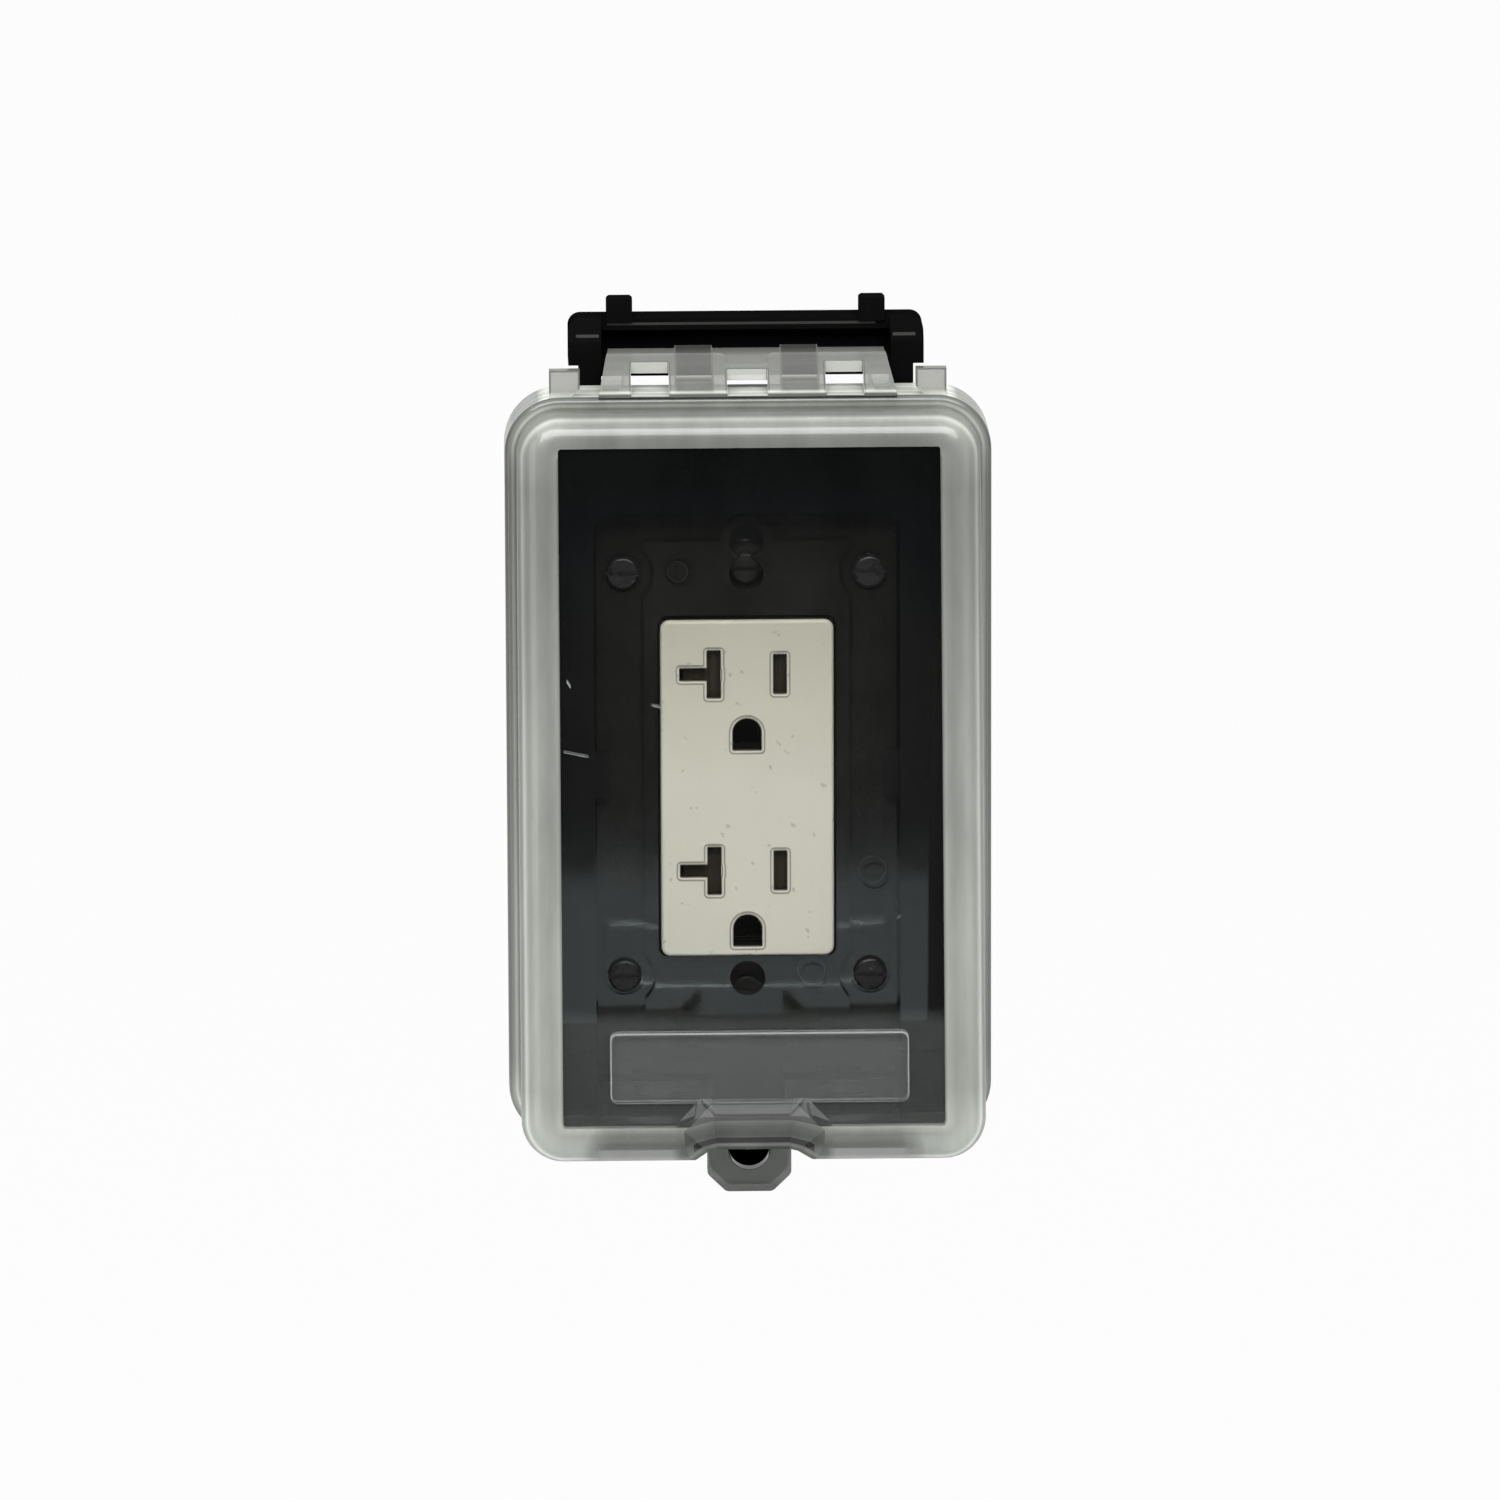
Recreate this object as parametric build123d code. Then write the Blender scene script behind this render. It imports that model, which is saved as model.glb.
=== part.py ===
"""Weatherproof in-use cover for an outdoor outlet, shown closed over its duplex receptacle.

Millimetres. X runs to the right, Y into the wall and Z up. The origin is the middle of the
wall box, on the wall, so the room side is -Y. Each separate piece is written to its own file.
"""

import os
from math import asin, atan2, cos, hypot, radians, sin, tan

from build123d import *

# Layers of the cover, counted from the wall towards the room
gasket_thickness = 1.6
gasket_inset = 1.5
floor_thickness = 2.5
adapter_thickness = 2.5
island_rise = 1.5
deck_stand_off = 14.0
deck_thickness = 2.2
rim_stand_off = 22.0

# Base outline and walls
base_width = 87.0
base_top = 75.8
base_bottom = -61.8
base_corner = 8.0
rim_wall = 2.2
recess_half_width = 29.3
recess_top = 54.6
recess_corner = 3.5
recess_wall = 2.0
floor_opening_side = 3.85
floor_opening_end = 5.85
gasket_end_gap = 1.0
back_rib_thickness = 1.6
back_rib_heights = (-30.0, 0.0, 30.0)

# Lid outline and walls
lid_side_lap = 2.75
lid_top_lap = 3.75
lid_bottom_lap = 3.15
lid_corner = 10.6
lid_wall = 2.0
skirt_back = 13.6
skirt_depth = 13.4
skirt_edge_radius = 1.2
bulge_inset = 2.15
bulge_corner = 8.0
bulge_depth_at_top = 6.9
bulge_slope = 10.3
bulge_edge_radius = 5.4

# Window, plaque frame and finger recess on the lid's sloping front
window_side_margin = 7.9
window_top_margin = 6.2
window_bottom_margin = 7.4
window_step = 0.4
window_corner = 1.6
plaque_width = 56.4
plaque_height = 13.1
plaque_offset = 1.1
plaque_above_bottom = 18.6
plaque_corner = 1.3
plaque_rib = 0.5
plaque_rise = 0.7
finger_top_half = 8.3
finger_bottom_half = 13.4
finger_knee_above_bottom = 6.8
finger_depth = 14.0
finger_top_above_bottom = 12.0
finger_floor_rise = 2.8
finger_floor_half = 7.9
finger_floor_chamfer = 1.2

# Hinge: a bar moulded across the base's housing, held by two open hooks on the lid
hinge_stand_off = 10.0
hinge_above_base = 6.7
hinge_bar_radius = 1.8
hinge_clearance = 0.06
hook_radius = 4.0
hook_centre = 10.05
hook_width = 7.1
hook_mouth = 3.1
housing_inner_half_width = 27.6
housing_leg = 4.3
housing_shoulder = 2.0
housing_above_hinge = 9.2
housing_shoulder_drop = 8.5
housing_bend_drop = 3.9
housing_back_gap = 4.4
housing_plate = 2.5
housing_cap_stand_off = 8.0
housing_front = 12.5
housing_corner = 2.4
hanger_centre = 24.1
hanger_width = 5.0
hanger_height = 4.0
hanger_depth = 3.2
hanger_proud = 0.6
hanger_reach = 0.9
hanger_chamfer = 0.5

# Hood over the hinge, with its windows and side ribs
hood_front_half_width = 28.4
hood_back_half_width = 26.3
hood_back_stand_off = 10.5
hood_thickness = 1.8
hood_bar_gap = 0.35
hood_side_rib = 3.4
hood_film_step = 0.55
hood_film_front = 13.0
hood_film_notch = 3.7
hood_film_notch_width = 8.2
hood_film_corner = 1.3
hood_window_front_margin = 0.3
hood_window_length = 8.4
hood_window_width = 7.7
hood_side_window_width = 7.2
hood_side_window_centre = 18.5
hood_side_window_extra = 2.4
ear_centre = 34.8
ear_width = 5.8
ear_rise = 5.1
ear_thickness = 2.4
ear_notch = 1.6

# Latch tab on the lid, with the base's boss behind it and one padlock hole through both
latch_half_width = 8.1
latch_length = 13.2
latch_chamfer_width = 3.6
latch_chamfer_height = 3.5
latch_round = 1.5
latch_tab_thickness = 3.0
latch_boss_gap = 0.5
latch_boss_back = 0.5
latch_boss_inset = 0.5
padlock_hole_radius = 4.0
padlock_hole_above_tip = 8.35

# Cord exits through the base's bottom rim, with one soft gate in each
gate_centre = 17.9
gate_width = 19.0
gate_back_stand_off = 7.0
gate_flange = 1.4
gate_flange_thickness = 1.2
cord_hole_radius = 4.5
cord_hole_stand_off = 14.5
cord_slit = 0.3
cord_membrane = 0.8
lid_cord_notch_radius = 6.0
lid_cord_notch_depth = 9.5

# Adapter plate round the receptacle, and the tabs and screws that hold it
adapter_gap = 0.45
adapter_bottom_gap = 2.6
island_half_width = 19.7
island_end_gap = 6.7
island_scoop_radius = 6.0
island_fillet = 0.8
island_groove_width = 0.6
island_groove_depth = 0.5
face_gap = 0.5
keyhole_radius = 3.3
keyhole_ring = 1.7
keyhole_ring_rise = 0.5
keyhole_ring_gap = 0.7
wallplate_screw_height = 47.9
lower_hole_height = -37.9
lower_hole_radius = 3.4
blank_ring_radius = 2.7
blank_ring_groove = 0.5
blank_ring_places = ((-12.6, 41.9), (12.6, -37.5), (24.6, -18.1))
snap_tab_thickness = 2.0
snap_tab_reach = 2.8
side_tab_bottom = -2.2
side_tab_top = 7.0
top_tab_centre = 14.5
top_tab_width = 6.6
corner_screw_spacing_x = 47.4
corner_screw_spacing_z = 79.2
corner_screw_middle = 2.1
corner_screw_radius = 1.75
corner_screw_hole_radius = 2.1
corner_head_radius = 3.25
corner_head_thickness = 1.6
corner_seat_depth = 0.6
corner_seat_gap = 0.6
corner_screw_length = 12.0
screw_neck_radius = 1.6
screw_slot_width = 0.8
screw_slot_depth = 0.7

# Receptacle: face, slots and housing
face_width = 33.3
face_height = 66.0
face_stand_off = 10.5
face_corner = 1.8
face_wall = 1.2
face_thickness = 2.2
face_edge_radius = 0.7
blade_spacing = 12.7
upper_blade_height = 22.4
outlet_pitch = 38.6
ground_below_blades = 11.8
neutral_slot_width = 2.6
neutral_slot_height = 9.3
neutral_leg_length = 5.3
neutral_leg_height = 2.4
hot_slot_width = 2.5
hot_slot_height = 7.7
ground_slot_width = 5.5
ground_slot_height = 6.2
slot_rim = 0.5
slot_rim_depth = 0.3
yoke_thickness = gasket_thickness
yoke_plate_side = 1.2
yoke_plate_end = 2.6
yoke_plate_corner = 1.0
yoke_ear_half_width = 10.0
yoke_ear_corner = 3.0
yoke_half_height = 53.5
yoke_bar_half_width = 4.2
yoke_window_half_width = 13.4
yoke_window_half_height = 29.5
box_screw_spacing = 83.3
box_screw_radius = 1.75
box_screw_length = 14.0
box_head_radius = 3.1
box_head_thickness = 1.4
wallplate_screw_spacing = 96.8
wallplate_hole_radius = 1.5
body_width = 34.0
body_height = 67.0
body_depth = 25.0
body_wall = 2.0
body_corner = 3.0
body_partition_gap = 3.4
body_partition_thickness = 1.0

# Contacts and terminals
leaf_thickness = 0.6
blade_gap = 1.9
contact_front = 2.0
contact_back = 11.0
contact_sheet = 1.0
clip_half_height = 3.2
spine_half_margin = 4.0
ground_gap = 4.8
ground_back = 9.0
ground_margin = 3.2
terminal_height = 15.0
terminal_stand_back = 5.5
terminal_screw_radius = 2.0
terminal_clearance = 0.05
terminal_head_radius = 3.4
terminal_head_thickness = 1.5
clamp_size = 8.0
clamp_thickness = 1.2
clamp_notch_gap = 0.3
ground_tab_depth = 8.0
ground_tab_height = 8.0
ground_tab_bottom = -44.5
housing_screw_x = 9.0
housing_screw_z = 3.0
housing_screw_radius = 1.5
housing_boss_radius = 3.0
housing_head_radius = 2.8
housing_head_thickness = 1.4

# Tamper shutters behind the blade slots
shutter_thickness = 1.2
shutter_gap = 0.1
shutter_left = 12.2
shutter_right = 8.0
shutter_half_height = 4.8
shutter_bar_height = 1.6
shutter_slot_gap = 0.3
shutter_lug = 1.2
spring_leaf = 0.3
spring_folds = 8
spring_height = 1.6
spring_depth = 1.0
spring_gap = 0.2
spring_post_right = -1.0
spring_post_width = 1.2
guide_half_width = 4.0
guide_height = 0.8
guide_depth = 1.8

# Stations along Y, worked out from the layers above
base_back = -gasket_thickness
floor_front = base_back - floor_thickness
adapter_front = floor_front - adapter_thickness
island_front = adapter_front - island_rise
skirt_front = -skirt_back - skirt_depth
lid_width = base_width + 2 * lid_side_lap
lid_top = base_top + lid_top_lap
lid_bottom = base_bottom - lid_bottom_lap
latch_bottom = lid_bottom - latch_length
padlock_hole_height = latch_bottom + padlock_hole_above_tip
bulge_top = lid_top - bulge_inset
bulge_bottom = lid_bottom + bulge_inset
bulge_width = lid_width - 2 * bulge_inset
window_half_width = bulge_width / 2 - window_side_margin
hinge_y = -hinge_stand_off
hinge_height = base_top + hinge_above_base
housing_top = hinge_height + housing_above_hinge
housing_leg_half_width = housing_inner_half_width + housing_leg
housing_half_width = housing_leg_half_width + housing_shoulder
adapter_bottom = base_bottom + rim_wall + adapter_bottom_gap
floor_opening_width = face_width + 2 * floor_opening_side
floor_opening_height = box_screw_spacing + 2 * floor_opening_end
island_half_height = recess_top - island_end_gap
face_back = -yoke_thickness
shutter_front = -face_stand_off + face_thickness + shutter_gap
outlet_heights = (upper_blade_height, upper_blade_height - outlet_pitch)
blade_half = blade_spacing / 2
FACING = {"left": -1, "right": 1}


def band(width, bottom, top, corner=0.0):
    """Upright rectangle in X and Z, centred on X = 0, with rounded corners if asked."""
    height = top - bottom
    shape = RectangleRounded(width, height, corner) if corner else Rectangle(width, height)
    return Pos(0, (bottom + top) / 2) * shape


def corners(*points):
    """Flat shape with straight sides through the given corners."""
    return Polygon(*points, align=None)


def layer(outline, back, front):
    """Outline in X and Z, filled from Y = back to Y = front, towards the room."""
    return extrude(Plane.XZ.offset(-back) * outline, back - front, dir=(0, -1, 0))


def side_cut(outline, left, right):
    """Outline in Y and Z, filled from X = left to X = right."""
    return extrude(Plane.YZ.offset(left) * outline, right - left, dir=(1, 0, 0))


def pillar(outline, low, high):
    """Outline in X and Y, filled from Z = low to Z = high."""
    return extrude(Plane.XY.offset(low) * outline, high - low, dir=(0, 0, 1))


def rod(radius, back, front, x, z):
    """Round bar along Y."""
    return layer(Pos(x, z) * Circle(radius), back, front)


def cross_rod(radius, left, right, y, z):
    """Round bar along X."""
    return side_cut(Pos(y, z) * Circle(radius), left, right)


# The lid's sloping front: a plane through its top edge, with its own upward direction
slope = radians(bulge_slope)
slope_top_y = skirt_front - bulge_depth_at_top
slope_plane = Plane(
    origin=(0, slope_top_y, bulge_top),
    x_dir=(1, 0, 0),
    z_dir=(0, -cos(slope), sin(slope)),
)


def slope_y(height, inset=0.0):
    """Y of the sloping front at a height, moved inwards by a wall."""
    return slope_top_y - (bulge_top - height) * tan(slope) + inset / cos(slope)


def along_slope(height):
    """Distance from the slope's top edge, negative downwards."""
    return (height - bulge_top) / cos(slope)


def bulge(inset, edge_radius, back):
    """The lid's wedge-shaped bulge, shrunk by a wall on every side."""
    outline = band(
        bulge_width - 2 * inset,
        bulge_bottom + inset,
        bulge_top - inset,
        bulge_corner - inset,
    )
    high = bulge_top + lid_corner
    low = bulge_bottom - lid_corner
    wedge = corners(
        (back, low),
        (back, high),
        (slope_y(high, inset), high),
        (slope_y(low, inset), low),
    )
    block = layer(outline, back, slope_y(low)) & side_cut(wedge, -lid_width, lid_width)
    front = block.faces().sort_by(Axis.Y)[0]
    sloped = [f for f in block.faces() if abs(f.normal_at().Y + cos(slope)) < 0.01]
    face = sloped[0] if sloped else front
    return fillet(face.edges(), edge_radius)


def scoop_outline(half, top, knee_half, knee, bottom):
    """Six-cornered outline on the slope: narrow at its top, full width from its knee down."""
    return corners(
        (-half, top),
        (half, top),
        (knee_half, knee),
        (knee_half, bottom),
        (-knee_half, bottom),
        (-knee_half, knee),
    )


def finger_recess(grow):
    """Scoop for a finger at the bottom of the lid's front, narrower and lower towards its floor."""
    top = along_slope(bulge_bottom + finger_top_above_bottom) + grow
    knee = along_slope(bulge_bottom + finger_knee_above_bottom) + grow
    bottom = along_slope(bulge_bottom) - bulge_corner
    mouth = scoop_outline(
        finger_top_half + grow, top, finger_bottom_half + grow, knee, bottom
    )
    floor_top = along_slope(bulge_bottom + finger_floor_rise) + grow
    floor_half = finger_floor_half + grow
    floor = scoop_outline(
        floor_half - finger_floor_chamfer, floor_top, floor_half, floor_top - finger_floor_chamfer, bottom
    )
    outside = slope_plane.offset(0.2) * mouth
    inside = slope_plane.offset(-finger_depth - grow) * floor
    return loft([outside.face(), inside.face()])


def hood_rise():
    """Steepness of the hood, whose outside runs from the skirt's edge to touch the hooks' round."""
    run = -hinge_y + skirt_front
    drop = lid_top - hinge_height
    reach = hypot(run, drop)
    return asin(hook_radius / reach) + atan2(-drop, -run)


def hood_film_plan(back):
    """The hood's thinner back part in X and Y, with a notch towards the middle window."""
    edge = -hood_film_front
    notch = hood_film_notch_width / 2
    plan = corners(
        (-hood_front_half_width, edge),
        (-notch, edge),
        (-notch, edge - hood_film_notch),
        (notch, edge - hood_film_notch),
        (notch, edge),
        (hood_front_half_width, edge),
        (hood_front_half_width, back + 1),
        (-hood_front_half_width, back + 1),
    )
    bends = [v for v in plan.vertices() if abs(v.X) < notch + 1]
    return fillet(bends, hood_film_corner)


def hood():
    """Sloping hood over the hinge, with side ribs, windows and two open hooks."""
    rise = tan(hood_rise())
    back = -hood_back_stand_off

    def hood_z(y, lower=0.0):
        return lid_top + (y - skirt_front) * rise - lower

    seat = lid_top - lid_wall / 2
    side = corners(
        (skirt_front + lid_wall, seat),
        (skirt_front, lid_top),
        (back, hood_z(back)),
        (back, hood_z(back, hood_thickness)),
        (-skirt_back, lid_top),
        (-skirt_back, seat),
    )
    plan_length = back - skirt_front
    plan = corners(
        (-hood_front_half_width, skirt_front),
        (hood_front_half_width, skirt_front),
        (hood_back_half_width, back),
        (-hood_back_half_width, back),
    )
    block = side_cut(side, -hood_front_half_width, hood_front_half_width)
    block &= pillar(plan, lid_bottom, 2 * lid_top)
    drop = hood_thickness / cos(hood_rise())
    under = corners(
        (skirt_front + drop / rise + 0.4, lid_top),
        (back + plan_length, hood_z(back + plan_length, drop)),
        (back + plan_length, lid_top),
    )
    narrow = hood_front_half_width - hood_side_rib
    inner_plan = corners(
        (-narrow, skirt_front),
        (narrow, skirt_front),
        (narrow + hood_back_half_width - hood_front_half_width, back),
        (narrow, back + 1),
        (-narrow, back + 1),
        (-narrow - hood_back_half_width + hood_front_half_width, back),
    )
    inner = side_cut(under, -narrow, narrow)
    inner &= pillar(inner_plan, lid_bottom, 2 * lid_top)
    block -= inner
    rib_relief = hinge_bar_radius + hood_bar_gap
    block -= cross_rod(rib_relief, -lid_width / 2, lid_width / 2, hinge_y, hinge_height)
    axis_gap = hinge_bar_radius + hinge_clearance
    for centre in (-hook_centre, hook_centre):
        left = centre - hook_width / 2
        right = centre + hook_width / 2
        web = corners(
            (skirt_front + lid_wall, seat),
            (-skirt_back, seat),
            (-skirt_back, lid_top + 0.3),
            (hinge_y, hinge_height),
            (hinge_y, hood_z(hinge_y) - hood_thickness / 2),
            (skirt_front + lid_wall, hood_z(skirt_front + lid_wall) - 0.2),
        )
        block += side_cut(web, left, right)
        block += cross_rod(hook_radius, left, right, hinge_y, hinge_height)
        block -= cross_rod(axis_gap, left - 1, right + 1, hinge_y, hinge_height)
        mouth = Pos(hinge_y, hinge_height) * Rot(0, 0, -45) * Pos(hook_radius, 0) * Rectangle(
            2 * hook_radius, hook_mouth
        )
        block -= side_cut(mouth, left - 1, right + 1)
    film = pillar(hood_film_plan(back), lid_bottom, 2 * lid_top)
    kept = corners(
        (skirt_front, lid_bottom),
        (skirt_front, hood_z(skirt_front, hood_film_step)),
        (back + 1, hood_z(back + 1, hood_film_step)),
        (back + 1, lid_bottom),
    )
    block -= film - side_cut(kept, -hood_front_half_width - 1, hood_front_half_width + 1)
    window_front = skirt_front + hood_window_front_margin
    for centre, width, extra in (
        (0.0, hood_window_width, 0.0),
        (-hood_side_window_centre, hood_side_window_width, hood_side_window_extra),
        (hood_side_window_centre, hood_side_window_width, hood_side_window_extra),
    ):
        length = hood_window_length + extra
        hole = Pos(centre, window_front + length / 2) * Rectangle(width, length)
        block -= pillar(hole, lid_top, lid_top + 2 * hook_radius)
    return block


def latch_outline(inset, top):
    """The tab's outline: straight sides and two slanted, rounded bottom corners."""
    half = latch_half_width - inset
    low = latch_bottom + inset
    outline = corners(
        (-half, top),
        (half, top),
        (half, low + latch_chamfer_height),
        (half - latch_chamfer_width, low),
        (-half + latch_chamfer_width, low),
        (-half, low + latch_chamfer_height),
    )
    bends = [v for v in outline.vertices() if v.Y < low + latch_chamfer_height + latch_round]
    return fillet(bends, latch_round)


def lid():
    """One clear moulding: skirt, sloping front, hood, ears and latch tab."""
    skirt = layer(band(lid_width, lid_bottom, lid_top, lid_corner), -skirt_back, skirt_front)
    skirt = fillet(skirt.faces().sort_by(Axis.Y)[0].edges(), skirt_edge_radius)
    shell = skirt + bulge(0.0, bulge_edge_radius, skirt_front + lid_wall)
    shell -= finger_recess(0.0)
    hollow_band = band(
        lid_width - 2 * lid_wall, lid_bottom + lid_wall, lid_top - lid_wall, lid_corner - lid_wall
    )
    hollow = layer(hollow_band, -skirt_back + 1, skirt_front + lid_wall)
    hollow += bulge(lid_wall, bulge_edge_radius - lid_wall, -skirt_back + 1) - finger_recess(lid_wall)
    shell -= hollow
    window_top = along_slope(bulge_top - window_top_margin)
    window_bottom = along_slope(bulge_bottom + window_bottom_margin)
    window = band(2 * window_half_width, window_bottom, window_top, window_corner)
    shell -= extrude(slope_plane * window, window_step, dir=-slope_plane.z_dir)
    plaque_low = along_slope(bulge_bottom + plaque_above_bottom - plaque_height / 2)
    plaque = band(plaque_width, plaque_low, plaque_low + plaque_height, plaque_corner)
    inside = band(
        plaque_width - 2 * plaque_rib,
        plaque_low + plaque_rib,
        plaque_low + plaque_height - plaque_rib,
        plaque_corner - plaque_rib,
    )
    frame = Pos(plaque_offset, 0) * (plaque - inside)
    shell += extrude(slope_plane.offset(-window_step) * frame, plaque_rise, dir=slope_plane.z_dir)
    shell += hood()
    for side in FACING.values():
        edge = ear_width / 2
        ear = corners(
            (-edge, -lid_wall),
            (edge, -lid_wall),
            (edge, ear_rise),
            (-edge, ear_rise),
            (-edge, ear_notch),
            (-edge + ear_notch, 0),
        )
        outline = Pos(side * ear_centre, lid_top) * (mirror(ear, Plane.YZ) if side < 0 else ear)
        ear_front = skirt_front + skirt_edge_radius
        shell += layer(outline, ear_front + ear_thickness, ear_front)
    tab = layer(
        latch_outline(0.0, lid_bottom + lid_wall), -skirt_back, -skirt_back - latch_tab_thickness
    )
    shell += tab
    shell -= rod(padlock_hole_radius, 0, skirt_front, 0, padlock_hole_height)
    for side in FACING.values():
        notch = Pos(side * gate_centre, -skirt_back) * SlotOverall(
            2 * lid_cord_notch_depth, 2 * lid_cord_notch_radius, 90
        )
        shell -= pillar(notch, lid_bottom - 1, lid_bottom + lid_wall + 1)
    return shell


def hinge_housing():
    """Cap, back plate, cheeks, hinge bar and two hanger tabs that stand above the base."""
    shoulder = housing_top - housing_shoulder_drop
    cap = band(2 * housing_half_width, shoulder, housing_top, housing_corner)
    cap += band(2 * housing_half_width, shoulder, housing_top - housing_corner)
    legs = band(2 * housing_leg_half_width, base_top - rim_wall, shoulder + housing_corner)
    side = corners(
        (base_back, base_top - rim_wall),
        (-housing_front, base_top - rim_wall),
        (-housing_front, housing_top - housing_bend_drop),
        (-housing_cap_stand_off, housing_top),
        (base_back, housing_top),
    )
    bends = side.vertices().sort_by(Axis.Y)[2:4]
    side = fillet(bends, housing_corner / 2)
    block = layer(cap + legs, base_back, -housing_front)
    block &= side_cut(side, -housing_half_width, housing_half_width)
    opening = 2 * housing_inner_half_width
    plate_front = base_back - housing_plate
    inside = band(opening, base_top, housing_top - housing_plate)
    block -= layer(inside, plate_front, -rim_stand_off)
    block -= layer(band(opening, base_top, base_top + housing_back_gap), 0, -rim_stand_off)
    block -= layer(
        band(opening, base_top, housing_top + 1), -housing_cap_stand_off, -rim_stand_off
    )
    block += cross_rod(
        hinge_bar_radius,
        -housing_inner_half_width - 1,
        housing_inner_half_width + 1,
        hinge_y,
        hinge_height,
    )
    hanger = band(hanger_width, housing_top - hanger_reach, housing_top + hanger_height)
    hanger_front = -housing_cap_stand_off - hanger_proud
    for facing in FACING.values():
        tab = layer(Pos(facing * hanger_centre, 0) * hanger, hanger_front + hanger_depth, hanger_front)
        block += chamfer(tab.faces().sort_by(Axis.Z)[-1].edges(), hanger_chamfer)
    return block


def corner_screw_places():
    """Names and X, Z places of the four screws into the wall box."""
    half_x = corner_screw_spacing_x / 2
    half_z = corner_screw_spacing_z / 2
    return {
        "upper_left": (-half_x, corner_screw_middle + half_z),
        "upper_right": (half_x, corner_screw_middle + half_z),
        "lower_left": (-half_x, corner_screw_middle - half_z),
        "lower_right": (half_x, corner_screw_middle - half_z),
    }


def base():
    """Black moulded pan: rim, deck, recess, floor, hinge housing and latch boss."""
    outer = band(base_width, base_bottom, base_top, base_corner)
    inner = band(
        base_width - 2 * rim_wall, base_bottom + rim_wall, base_top - rim_wall, base_corner - rim_wall
    )
    rim_floor = base_bottom + rim_wall
    recess = band(2 * recess_half_width, rim_floor, recess_top, recess_corner)
    recess += band(2 * recess_half_width, rim_floor, rim_floor + 2 * recess_corner)
    recess_outside = band(
        2 * (recess_half_width + recess_wall),
        base_bottom,
        recess_top + recess_wall,
        recess_corner + recess_wall,
    )
    skirt_top = base_bottom + 2 * (recess_corner + recess_wall)
    recess_outside += band(2 * (recess_half_width + recess_wall), base_bottom - 1, skirt_top)
    deck_back = -deck_stand_off + deck_thickness
    block = layer(outer, base_back, -rim_stand_off)
    block -= layer(inner, -deck_stand_off, -rim_stand_off - 1)
    block -= layer(inner - recess_outside, 0, deck_back)
    block -= layer(recess, floor_front, -rim_stand_off - 1)
    opening = band(
        floor_opening_width, -floor_opening_height / 2, floor_opening_height / 2, recess_corner
    )
    block -= layer(opening, 0, -deck_stand_off)
    for height in back_rib_heights:
        for side in FACING.values():
            inner_end = recess_half_width + recess_wall / 2
            outer_end = base_width / 2 - rim_wall / 2
            middle = side * (inner_end + outer_end) / 2
            rib = Pos(middle, height) * Rectangle(outer_end - inner_end, back_rib_thickness)
            block += layer(rib, base_back, deck_back - deck_thickness / 2)
    tab_back = adapter_front - shutter_gap
    tab_front = tab_back - snap_tab_thickness
    for side in FACING.values():
        edge = recess_half_width - snap_tab_reach / 2 + 0.5
        side_tab = Pos(side * edge, (side_tab_bottom + side_tab_top) / 2) * Rectangle(
            snap_tab_reach + 1, side_tab_top - side_tab_bottom
        )
        block += layer(side_tab, tab_back, tab_front)
        top_tab = Pos(side * top_tab_centre, recess_top - snap_tab_reach / 2 + 0.5) * Rectangle(
            top_tab_width, snap_tab_reach + 1
        )
        block += layer(top_tab, tab_back, tab_front)
    block += hinge_housing()
    boss_front = -skirt_back + latch_boss_gap
    boss = layer(latch_outline(latch_boss_inset, base_bottom + rim_wall / 2), -latch_boss_back, boss_front)
    block += boss
    block -= rod(padlock_hole_radius, 0, boss_front - 1, 0, padlock_hole_height)
    for x, z in corner_screw_places().values():
        block -= rod(corner_screw_hole_radius, 0, floor_front - 1, x, z)
    for side in FACING.values():
        notch = Pos(side * gate_centre, 0) * band(
            gate_width, base_bottom - 1, base_bottom + rim_wall + 1
        )
        block -= layer(notch, -gate_back_stand_off, -rim_stand_off - 1)
    return block


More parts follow.
